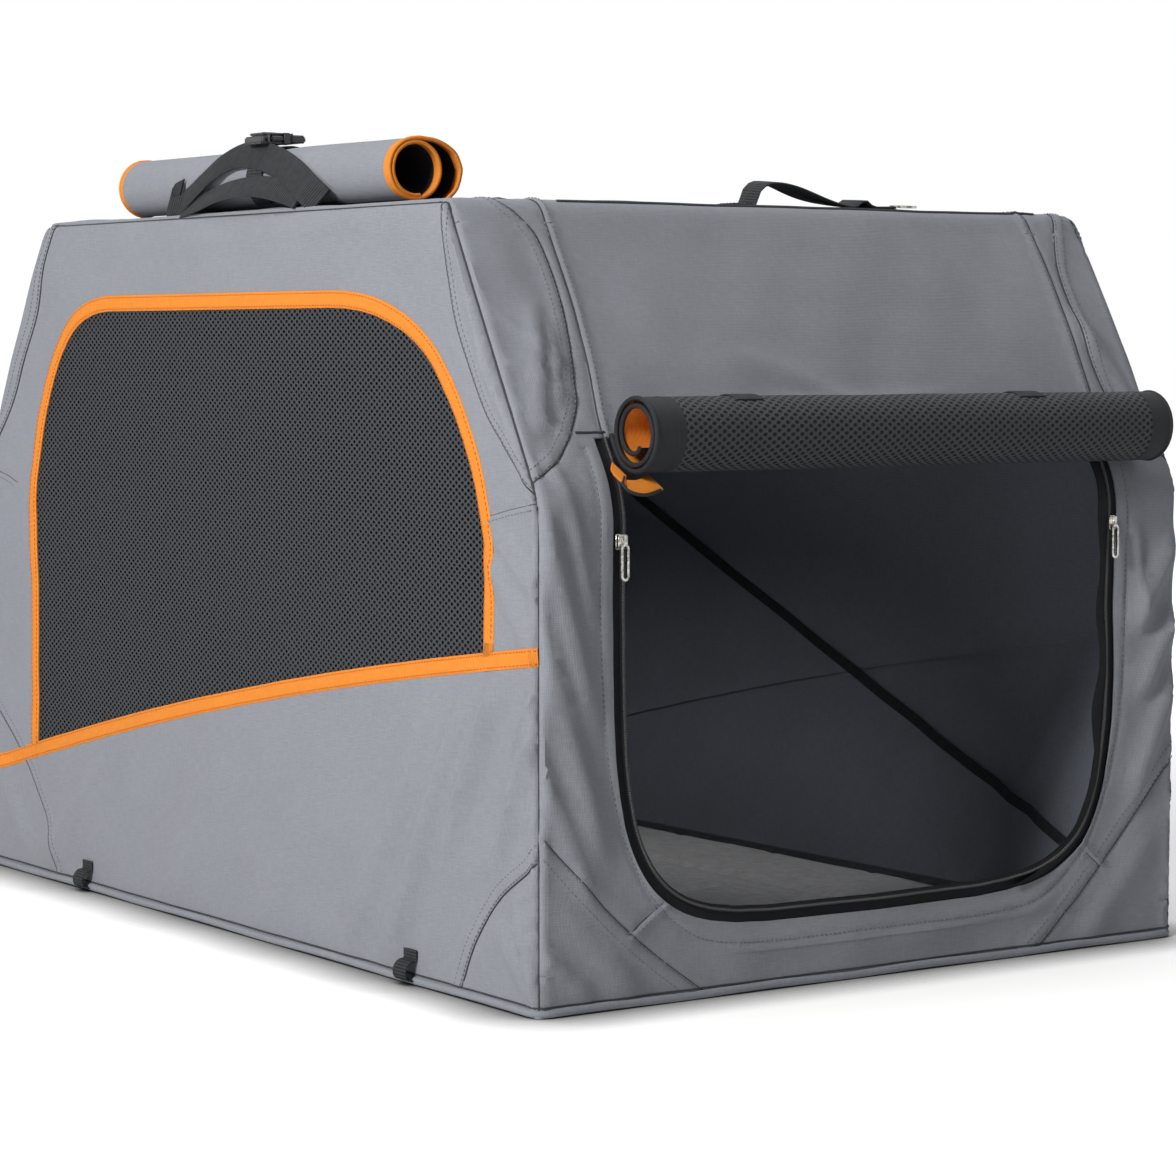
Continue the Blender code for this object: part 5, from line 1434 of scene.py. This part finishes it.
def buckle():
    """The side-release buckle: a socket with open sides, and a plug with two sprung prongs."""
    low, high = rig.box("buckle_socket")
    x0, x1, z = low.x, high.x, low.z
    y = (low.y + high.y) / 2
    half = (high.y - low.y) / 2
    socket = [((x0, y - half + 0.0022, z), (x1 - 0.0004, y + half - 0.0022, z + 0.0018), 0.0006),
              ((x0 + 0.0025, y - half + 0.0040, z + 0.0070), (x1 - 0.0010, y + half - 0.0040, z + 0.0090), 0.0008),
              ((x0, y - half, z + 0.0004), (x0 + 0.0032, y + half, z + 0.0062), 0.0012),
              ((x0 + 0.0056, y - half, z + 0.0004), (x0 + 0.0078, y + half, z + 0.0078), 0.0010),
              ((x1 - 0.0058, y - half, z), (x1 - 0.0002, y + half, z + 0.0016), 0.0006),
              ((x1 - 0.0058, y - half, z + 0.0074), (x1 - 0.0002, y + half, z + 0.0090), 0.0006),
              ((x0 + 0.0080, y - 0.0020, z + 0.0084), (x1 - 0.0060, y + 0.0020, z + 0.0098), 0.0006)]
    socket += across_both((x1 - 0.0058, half - 0.0010, z + 0.0006), (x1 - 0.0002, half, z + 0.0084), 0.0004, y)
    blocks("buckle_housing", socket, PLASTIC, "roof", "buckle_socket", "black_plastic")
    low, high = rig.box("buckle_plug")
    x2 = high.x
    plug = [((x1 + 0.0003, y - half, z + 0.0004), (x1 + 0.0042, y + half, z + 0.0086), 0.0014),
            ((x2 - 0.0034, y - half, z + 0.0012), (x2, y + half, z + 0.0066), 0.0014),
            ((x1 - 0.0120, y - 0.0026, z + 0.0030), (x1 + 0.0020, y + 0.0026, z + 0.0060), 0.0008)]
    plug += across_both((x1 + 0.0020, half - 0.0030, z + 0.0010), (x2 - 0.0010, half, z + 0.0074), 0.0010, y)
    plug += across_both((x1 - 0.0165, half - 0.0044, z + 0.0024), (x1 + 0.0020, half - 0.0014, z + 0.0066), 0.0010, y)
    blocks("buckle_prongs", plug, PLASTIC, "buckle", "buckle_plug", "black_plastic")


buckle()


def slider(node, name, body, out):
    """A zip slider: two plates, a neck between them and a bridge over the pull's bar, along its out direction."""
    low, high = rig.box(node)
    middle = (low + high) / 2
    k = max(range(3), key=lambda axis: abs(out[axis]))
    way = out[k]
    foot = low[k] if way > 0 else high[k]

    def layer(a, b, share_u, share_v, radius):
        lo, hi = list(low), list(high)
        for axis, share in zip([axis for axis in range(3) if axis != k], (share_u, share_v)):
            half = (high[axis] - low[axis]) / 2 * share
            lo[axis], hi[axis] = middle[axis] - half, middle[axis] + half
        lo[k], hi[k] = sorted((foot + way * a, foot + way * b))
        return lo, hi, radius

    blocks(name, [layer(0.0, 0.0012, 1.0, 1.0, 0.0005), layer(0.0010, 0.0030, 0.45, 0.45, 0.0004),
                  layer(0.0027, 0.0040, 0.92, 0.92, 0.0006), layer(0.0036, 0.0046, 0.34, 0.72, 0.0004)],
           NICKEL, body, node, "nickel")


slider("door_slider_left", "zip_slider_left", "left_door_slider", (0, -1, 0))
slider("door_slider_right", "zip_slider_right", "right_door_slider", (0, -1, 0))
slider("roof_slider", "hatch_slider", "roof_zip_slider", (0, 0, 1))


# Rolled cloth

TURN_STEPS = 34
ROLL_SHARP_DEG = 55
ROLL_AREA_SHARE = 0.99


def rolled_sheet(batch, path, xs, dent, thickness, slot_of, place):
    """A rolled sheet: a section's middle line, drawn along x, with a dent for each place, closed all round."""
    run = unit(np.gradient(path, axis=0))
    left = np.column_stack([-run[:, 1], run[:, 0]])
    along = run_lengths(path)
    n, m = len(path), len(xs)
    points = []
    for side in (0.5, -0.5):
        for middle, shifted in zip(path, path + left * side * thickness):
            points.append(place(xs, *np.array([shifted * (1 + dent(x, middle)) for x in xs]).T))
    base = batch.count
    batch.add(np.vstack(points), [], 0, np.array([(x, reached) for _ in range(2) for reached in along for x in xs]))

    def at(side, i, j):
        return base + (side * n + i) * m + j

    def face(side, i, j, turned, corners):
        batch.faces.append(corners[::-1] if turned else corners)
        batch.slots.append(slot_of(side, along[i] - along[-1], xs[j]))

    for i in range(n - 1):
        for j in range(m - 1):
            for side in (0, 1):
                face(side, i, j, side == 0,
                     (at(side, i, j), at(side, i, j + 1), at(side, i + 1, j + 1), at(side, i + 1, j)))
        for j in (0, m - 1):
            face(2, i, j, j > 0, (at(0, i, j), at(1, i, j), at(1, i + 1, j), at(0, i + 1, j)))
    for i in (0, n - 1):
        for j in range(m - 1):
            face(0, i, j, i == 0, (at(0, i, j), at(1, i, j), at(1, i, j + 1), at(0, i, j + 1)))


def drawn_lumps(seed, count, places, widths, depths):
    """Lumps in a roll, each (place along it, angle round it, width, depth)."""
    random = np.random.RandomState(seed)
    return [[random.uniform(*limits) for limits in (places, (-1, 3.5), widths, depths)] for _ in range(count)]


def with_lumps(total, lumps, along, angle, spread):
    """A dent with the lumps added that reach a place along the roll and an angle round it."""
    for place, place_angle, width, depth in lumps:
        turn = (angle - place_angle + math.pi) % (2 * math.pi) - math.pi
        total += depth * math.exp(-((along - place) / width) ** 2 - (turn / spread) ** 2)
    return total


def dented(path, x, dent):
    return np.array([point * (1 + dent(x, point)) for point in path])


def flat_roll(path, span, rests_on):
    """A rolled sheet's area, its flat size and what it rests on."""
    length = float(np.linalg.norm(np.diff(path, axis=0), axis=1).sum())
    return span * length * ROLL_AREA_SHARE, (span, length), [rests_on]


# Rolled door

ROLL_RADIUS = 0.029
ROLL_CORE = 0.010
ROLL_TURNS = 2.25
ROLL_CLOTH = 0.0022
ROLL_HALF = DOOR_HALF + 0.0055
ROLL_MIDDLE = 0.020
ROLL_ALONG = 0.0497 - 0.012
ROLL_OUT = SEAT_GAP + ROLL_RADIUS
ROLL_BORDER = 0.020
ROLL_TAIL = 0.014
ROLL_STRAPS = (("left", -0.135), ("right", 0.135))


def spiral():
    """The rolled door's middle line (across, up), from its core to its outer end under the roll."""
    share = np.linspace(0, 1, round(ROLL_TURNS * TURN_STEPS) + 1)
    angle = -math.pi / 2 - 2 * math.pi * ROLL_TURNS * (1 - share)
    radius = ROLL_CORE + ROLL_CLOTH / 2 + (ROLL_RADIUS - ROLL_CLOTH - ROLL_CORE) * share ** 0.5
    return np.column_stack([radius * np.cos(angle), radius * np.sin(angle)])


def slope_place(x, along, out):
    """A point on the front slope: across, up along it from the knee, and out from it."""
    y = -HALF_LENGTH + (along * SLOPE_DEPTH - out * RISE) / SLOPE
    z = KNEE + (along * RISE + out * SLOPE_DEPTH) / SLOPE
    return np.stack(np.broadcast_arrays(x, y, z), axis=-1)


ROLL_PRESS = ((0.0, -RISE / SLOPE, SLOPE_DEPTH / SLOPE), tuple(slope_place(np.zeros(1), ROLL_ALONG, 0.0)[0]))
ROLL_LUMPS = drawn_lumps(5, 26, (-0.22, 0.22), (0.012, 0.03), (-0.05, 0.01))


def door_dent(x, p):
    """How much the rolled door swells or sinks at a point of its section."""
    angle = math.atan2(p[1], p[0])
    reach = min(1.0, math.hypot(*p) / ROLL_RADIUS) ** 2
    total = with_lumps(0.0, ROLL_LUMPS, x, angle, 0.6)
    for _, strap in ROLL_STRAPS:
        total -= 0.05 * math.exp(-((x - (strap - ROLL_MIDDLE)) / 0.015) ** 2) * max(0.0, math.sin(angle))
    near_end = math.exp(-((ROLL_HALF - abs(x)) / 0.006) ** 2)
    return reach * (total * (1 - near_end) - 0.012 * near_end)


def door_slot(side, back, x):
    """The rolled door's material at a place: net with a cloth border, an orange back and a black edge."""
    if side == 2:
        return 3
    if side == 0:
        return 2
    border = abs(x) > ROLL_HALF - ROLL_BORDER or back > -ROLL_BORDER
    return 1 if border or back < -ROLL_BORDER - ROLL_TAIL - 2 * math.pi * ROLL_RADIUS else 0


def door_roll():
    def on_slope(x, u, v):
        return slope_place(x + ROLL_MIDDLE, ROLL_ALONG + u, ROLL_OUT + v)

    path = spiral()
    outer_turn = path[-TURN_STEPS:]
    path = np.vstack([path, path[-1] + np.array([[ROLL_TAIL / 2, 0], [ROLL_TAIL, 0]])])
    insets = np.array([0, 0.0012, 0.004])
    xs = np.concatenate([insets - ROLL_HALF, np.linspace(-ROLL_HALF + 0.009, ROLL_HALF - 0.009, 88),
                         ROLL_HALF - insets[::-1]])
    batch = Batch()
    rolled_sheet(batch, path, xs, door_dent, ROLL_CLOTH * 0.72, door_slot, on_slope)
    for part, inset, swell, radius, sides in ((path, 0.0, 1.0, 0.0019, 8), (path[-38:], 0.019, 1.012, 0.0008, 6)):
        for x in (-ROLL_HALF + inset, ROLL_HALF - inset):
            batch.tube(on_slope(x, *(dented(part, x, door_dent) * swell).T), radius, 1, sides)
    piece = batch.build("door_rolled", (ROLL_NET, BLACK_CLOTH, ORANGE, BLACK_CLOTH), ROLL_SHARP_DEG)
    dress(piece, "black_mesh", "front_upper", ["door_roll"], presses=ROLL_PRESS,
          sheet=flat_roll(path, 2 * ROLL_HALF, "front_cloth"), held="folded")
    door_corner()
    for name, x in ROLL_STRAPS:
        roll_strap(name, x, outer_turn)


def door_corner():
    """The door's bound corner, which sticks out of the roll's left end beside the zip."""
    x0 = ROLL_MIDDLE - ROLL_HALF
    line = [(x0 + 0.016, 0.006, 0.014), (x0 + 0.003, 0.003, 0.013), (x0 - 0.007, 0.006, 0.011),
            (x0 - 0.011, 0.013, 0.009), (x0 - 0.006, 0.021, 0.006)]
    path = np.array([slope_place(*point) for point in line])
    batch = Batch()
    batch.tape(smoothed(path, 0.002), (0.25, -0.75, -0.60), 0.016, 0.0016, 0)
    batch.tube(smoothed(path + (0, -0.006, -0.005), 0.002), 0.0013, 1, sides=7)
    dress(batch.build("door_corner", (ORANGE, BLACK_CLOTH)), "orange_binding", "front_upper", presses=ROLL_PRESS)


def roll_strap(name, x, outer_turn):
    """A strap over the rolled door. It lies on the roll's outer turn and ends at the slope above it."""
    lean = np.arctan2(outer_turn[:, 1], outer_turn[:, 0])
    over = outer_turn[(lean > math.radians(-26)) & (lean < math.radians(64))]
    over = dented(over[np.argsort(np.arctan2(over[:, 1], over[:, 0]))], x - ROLL_MIDDLE, door_dent)
    over += unit(over) * np.linspace(0.0022, 0.0014, len(over))[:, None]
    along = ROLL_ALONG + np.concatenate([[over[0, 0] - 0.0010, over[0, 0] + 0.0004], over[:, 0]])
    out = ROLL_OUT + np.concatenate([[-ROLL_OUT + 0.0014, (over[0, 1] - ROLL_OUT) / 2], over[:, 1]])
    batch = Batch()
    batch.tape(slope_place(x, along, out), (1, 0, 0), STRAP_WIDTH, STRAP_THICKNESS, 0)
    dress(batch.build(f"roll_strap_{name}", (WEBBING,)), "black_webbing", "front_upper", [f"door_strap_{name}"],
          presses=ROLL_PRESS)


door_roll()


# Rolled roof cover, its strap and buckle

COVER_RADIUS = 0.025
COVER_CLOTH = 0.0018
COVER_X = -(HALF_WIDTH - 0.041)
COVER_Z = HEIGHT + SEAT_GAP + COVER_RADIUS
COVER_Y = (-ROOF_HALF + 0.106, ROOF_HALF - 0.114)
STRAP_Y = -0.0205


def cover_section():
    """The rolled cover's section: tight turns inside, and a loose outer turn that bulges to the right."""
    knots = [(640, 0.0200), (450, 0.0206), (270, 0.0222), (180, 0.0234), (90, 0.0236), (66, 0.0250), (42, 0.0300),
             (20, 0.0368), (2, 0.0398), (-16, 0.0388), (-30, 0.0372), (-40, 0.0372)]
    angles = np.arange(640, -40.5, -9.0)
    radius = np.interp(angles, [k[0] for k in knots][::-1], [k[1] for k in knots][::-1])
    turn = np.column_stack([radius * np.cos(np.radians(angles)), radius * np.sin(np.radians(angles))])
    under = [(0.0240, -0.0243), (0.0160, -0.0246), (0.0060, -0.0246), (-0.0040, -0.0246)]
    return smoothed(np.vstack([turn[:-1], under]), 0.0035)


COVER_LUMPS = drawn_lumps(8, 14, COVER_Y, (0.03, 0.08), (-0.035, 0.02))


def cover_dent(y, p):
    """How much the rolled cover swells or sinks at a point of its section. The strap pinches it."""
    angle = math.atan2(p[1], p[0])
    reach = min(1.0, math.hypot(*p) / COVER_RADIUS) ** 2 * (0.4 if p[0] > 0.02 or p[1] < -0.02 else 1.0)
    pinch = -0.06 * math.exp(-((y - STRAP_Y) / 0.022) ** 2) * max(0.0, math.sin(angle))
    return reach * with_lumps(pinch, COVER_LUMPS, y, angle, 0.7)


def cover_slot(side, back, y):
    """The rolled cover's material at a place: grey outside, black inside, with orange ends and edge."""
    if side == 2 or min(y - COVER_Y[0], COVER_Y[1] - y) < 0.0072:
        return 2
    return side


def cover_roll():
    def on_roof(y, u, v):
        return np.stack(np.broadcast_arrays(COVER_X + u, y, COVER_Z + v), axis=-1)

    path = cover_section()
    insets = np.array([0, 0.002, 0.005, 0.0075])
    ys = np.concatenate([COVER_Y[0] + insets, np.linspace(COVER_Y[0] + 0.018, COVER_Y[1] - 0.018, 56),
                         COVER_Y[1] - insets[::-1]])
    batch = Batch()
    rolled_sheet(batch, path, ys, cover_dent, COVER_CLOTH * 0.75, cover_slot, on_roof)
    for y in COVER_Y:
        batch.tube(on_roof(y, *dented(path, y, cover_dent).T), 0.0017, 2, sides=8)
    dress(batch.build("cover_rolled", (GREY, BLACK_CLOTH, ORANGE), ROLL_SHARP_DEG), "grey_cloth", "roof",
          ["cover_roll"], sheet=flat_roll(path, COVER_Y[1] - COVER_Y[0], "roof_cloth"), held="folded")


def cover_strap():
    """The webbing over the rolled cover, and its slack run, which arches along the roll's left flank."""
    angles = np.linspace(math.radians(-30), math.radians(232), 34)
    radius = np.interp(angles, [math.radians(a) for a in (-30, 0, 20, 42, 66, 90, 232)],
                       [0.0400, 0.0412, 0.0382, 0.0314, 0.0264, 0.0252, 0.0256])
    xs = COVER_X + radius * np.cos(angles)
    zs = np.maximum(COVER_Z + radius * np.sin(angles), HEIGHT + 0.0016)
    batch = Batch()
    batch.tape(np.column_stack([xs, np.full(len(xs), STRAP_Y), zs]), (0, 1, 0), STRAP_WIDTH, STRAP_THICKNESS, 0)

    def beside_roll(points, step):
        flank = COVER_X - COVER_RADIUS
        return smoothed([(flank + x, STRAP_Y + y, HEIGHT + z) for x, y, z in points], step)

    arch = beside_roll([(-0.004, 0.118, 0.008), (-0.006, 0.100, 0.014), (-0.005, 0.080, 0.024), (-0.003, 0.055, 0.036),
                        (0.002, 0.030, 0.044), (0.004, 0.002, 0.044), (0.001, -0.035, 0.037), (-0.003, -0.068, 0.026),
                        (-0.006, -0.095, 0.013), (-0.004, -0.110, 0.003)], 0.004)
    lean = np.linspace(0, 1, len(arch))[:, None]
    across = (1 - lean) * np.array([0.20, -0.25, 0.95]) + lean * np.array([0.45, -0.50, 0.75])
    batch.tape(arch, across, 0.024, 0.0016, 0)
    fold = [(-0.004, 0.114, 0.008), (-0.008, 0.126, 0.006), (-0.007, 0.128, 0.015), (-0.003, 0.118, 0.020)]
    batch.tape(beside_roll(fold, 0.002), (0.15, -0.25, 0.95), 0.020, 0.0016, 0)
    slack = [(-0.005, 0.112, 0.004), (-0.010, 0.070, 0.009), (-0.012, 0.025, 0.016), (-0.012, -0.020, 0.018),
             (-0.010, -0.055, 0.014), (-0.008, -0.086, 0.007)]
    batch.tape(beside_roll(slack, 0.004), (0.55, -0.05, 0.83), 0.020, 0.0016, 0)
    dress(batch.build("cover_webbing", (WEBBING,)), "black_webbing", "roof", ["cover_strap"])


cover_roll()
cover_strap()


# Handle and mat

def handle():
    """The flat carry handle, bowed up between two sewn tabs."""
    half, tab, rise, lean = 0.0600, 0.020, 0.018, 0.38
    middle = 0.050
    y = -ROOF_HALF + 0.030
    foot = HEIGHT + SEAT_GAP + 0.001
    line = [(middle - half - tab, foot), (middle - half - tab * 0.5, foot), (middle - half, foot + 0.0003)]
    for t in (k / 24 for k in range(1, 24)):
        bump = 0.006 * math.exp(-((t - 0.90) / 0.055) ** 2)
        line.append((middle - half + 2 * half * t, foot + rise * math.sin(math.pi * t ** lean) ** 2 + bump))
    line += [(middle + half, foot + 0.0003), (middle + half + tab * 0.5, foot), (middle + half + tab, foot)]
    across = [(0.06 * math.sin(k * 0.5), 1.0, 0.10 * math.sin(k * 0.37)) for k in range(len(line))]
    batch = Batch()
    batch.tape([(x, y, z) for x, z in line], across, STRAP_WIDTH, 0.0018, 0)
    for x0 in (middle - half - tab + 0.002, middle + half + 0.002):
        x1, y0, y1 = x0 + tab - 0.004, y - 0.010, y + 0.010
        crossed = [(x0, y0), (x1, y0), (x1, y1), (x0, y1), (x0, y0), (x1, y1), (x0, y1), (x1, y0)]
        batch.stitches([(*point, foot + 0.0011) for point in crossed], 1)
    dress(batch.build("carry_handle", (WEBBING, SHADE_LINE_AND_THREAD)), "black_webbing", "roof", ["roof_handle"])


handle()


QUILT_X, QUILT_Y = 0.128, 0.141
MAT_GAP_X, MAT_GAP_Y, MAT_CORNER = 0.0485, 0.027, 0.035
MAT_FOOT, MAT_EDGE, MAT_ROUND = 0.0008, 0.003, 0.016
MAT_CROWN, MAT_SWELL, QUILT_DEPTH, QUILT_WIDTH = 0.0125, 0.0035, 0.0055, 0.006


def mat():
    """The padded mat: a crowned, quilted body with a piped edge."""
    half_x, half_y = HALF_WIDTH - MAT_GAP_X, HALF_LENGTH - MAT_GAP_Y
    outline = rounded_box(-half_x, half_x, -half_y, half_y, MAT_CORNER)
    border = resampled(outline, 0.01, closed=True)
    flat, faces = triangles(outline, [], inset_rows(border, 1), 0.009)
    edge = np.abs(signed_distance(flat, border, closed=True))
    round_in = np.sqrt(np.clip(1 - (1 - np.clip(edge / MAT_ROUND, 0, 1)) ** 2, 0, 1))
    to_seam = [np.abs((flat[:, k] / pitch + 0.5) % 1 - 0.5) * pitch for k, pitch in enumerate((QUILT_X, QUILT_Y))]
    seam_depth = np.exp(-(np.minimum(*to_seam) / QUILT_WIDTH) ** 2)
    crown = MAT_CROWN + MAT_SWELL * smooth_step(edge / 0.08) + ripples(flat, 51, 12, 0.2, 0.06, 0.0008)
    top = FLOOR + MAT_FOOT + MAT_EDGE + (crown - QUILT_DEPTH * seam_depth * smooth_step(edge / 0.03)) * round_in
    batch = Batch()
    batch.shell(flat, faces, level, top, top - FLOOR - MAT_FOOT, slots=(0, 0))
    ring = resampled(outline, 0.008, closed=True)
    batch.tube(level(ring, np.full(len(ring), FLOOR + 0.0046)), 0.0022, 1, sides=8, closed=True)
    piece = batch.build("padded_mat", (PLUSH, LINING))
    dress(piece, "mat_cloth", "base", ["floor_mat"])
    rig.padded(piece, fill=0.5)


mat()


# Studio

FLOOR_REACH = 14
GLOW_START, GLOW_END = 0.65, 2.2
CONTACT_SHADOW_REACH, CONTACT_SHADOW_POWER = 0.060, 2.2


def camera():
    data = bpy.data.cameras.new("camera")
    data.lens = CAMERA_LENS_MM
    data.sensor_width = SENSOR_MM
    data.sensor_fit = "HORIZONTAL"
    data.clip_end = 60
    thing = placed("camera", data)
    thing.location = CAMERA_PLACE
    thing.rotation_euler = (math.radians(90 - CAMERA_PITCH_DEG), 0, math.radians(-CAMERA_YAW_DEG))
    bpy.context.scene.camera = thing


def lamp(name, place, aim, size, power, color):
    data = bpy.data.lights.new(name, "AREA")
    data.shape = "DISK"
    data.size = size
    data.energy = power
    data.color = color
    thing = placed(name, data)
    thing.location = place
    thing.rotation_euler = (Vector(aim) - Vector(place)).to_track_quat("-Z", "Y").to_euler()


def seen_apart(tree, unseen, seen, output):
    """Shows one shader to the camera and in reflections, and another one to every other ray."""
    rays = add_node(tree, "LightPath").outputs
    share = rays["Is Camera Ray"]
    for name in ("Is Glossy Ray", "Is Transmission Ray"):
        share = add_node(tree, "Math", {0: share, 1: rays[name]}, operation="ADD", use_clamp=True).outputs[0]
    put(tree, output, add_node(tree, "MixShader", {0: share, 1: unseen, 2: seen}).outputs[0])


def world():
    """A faint sky that lights the crate, and plain white where the camera looks past it."""
    studio_world = bpy.data.worlds.new("studio")
    bpy.context.scene.world = studio_world
    studio_world.use_nodes = True
    tree = studio_world.node_tree
    lit = tree.nodes["Background"]
    put(tree, lit.inputs["Color"], (0.93, 0.96, 1.0, 1))
    put(tree, lit.inputs["Strength"], 0.10)
    white = add_node(tree, "Background", {"Color": (1, 1, 1, 1), "Strength": 1.0})
    seen_apart(tree, lit.outputs[0], white.outputs[0], tree.nodes["World Output"].inputs[0])


def studio_floor():
    """A matt floor. The camera sees it glow to white with distance, and sees a painted contact shadow darken it where
    something stands on it.
    """
    material = bpy.data.materials.new("studio_floor")
    material.use_nodes = True
    tree = material.node_tree
    shader = tree.nodes["Principled BSDF"]
    for name, value in (("Base Color", (0.88, 0.88, 0.88, 1)), ("Roughness", 0.9), ("Specular IOR Level", 0.0)):
        put(tree, shader.inputs[name], value)
    away = add_node(tree, "VectorMath", {0: add_node(tree, "TexCoord").outputs["Object"]}, operation="LENGTH")
    glow = add_node(tree, "MapRange", {"Value": away.outputs["Value"], "From Min": GLOW_START, "From Max": GLOW_END,
                                       "To Min": 0.30, "To Max": 0.95})
    light = add_node(tree, "Emission", {"Color": (1, 1, 1, 1), "Strength": glow.outputs[0]})
    lit = add_node(tree, "AddShader", {0: shader.outputs[0], 1: light.outputs[0]})
    # Painted contact shadow: where nearby geometry occludes the floor, the camera sees it fade to black.
    openness = add_node(tree, "AmbientOcclusion", {"Distance": CONTACT_SHADOW_REACH}, samples=8)
    open_share = add_node(tree, "Math", {0: openness.outputs["AO"], 1: CONTACT_SHADOW_POWER}, operation="POWER")
    black = add_node(tree, "Emission", {"Strength": 0.0})
    contact_shadow = add_node(tree, "MixShader", {0: open_share.outputs[0], 1: black.outputs[0], 2: lit.outputs[0]})
    seen_apart(tree, shader.outputs[0], contact_shadow.outputs[0], tree.nodes["Material Output"].inputs[0])

    mesh = bpy.data.meshes.new("studio_floor")
    reach = FLOOR_REACH
    mesh.from_pydata([(-reach, -reach, 0), (reach, -reach, 0), (reach, reach, 0), (-reach, reach, 0)], [], [range(4)])
    mesh.materials.append(material)
    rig.stage(placed("studio_floor", mesh))


camera()
world()
studio_floor()
lamp("key", (-3.7, -1.2, 2.2), (0, 0, 0.25), 1.0, 188, (1.0, 0.99, 0.97))
lamp("fill", (-0.9, -3.8, 1.5), (0, 0, 0.25), 1.8, 1.0, (0.96, 0.98, 1.0))
lamp("top", (0.3, 0.1, 3.4), (0, 0, 0.3), 2.2, 50, (1.0, 1.0, 1.0))
bpy.context.scene.view_settings.view_transform = "Standard"

VISUAL_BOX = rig.bounds()
with open("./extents.json", "w") as sizes:
    json.dump({"cad": [list(corner) for corner in CAD_BOX], "visual": [list(corner) for corner in VISUAL_BOX]}, sizes)
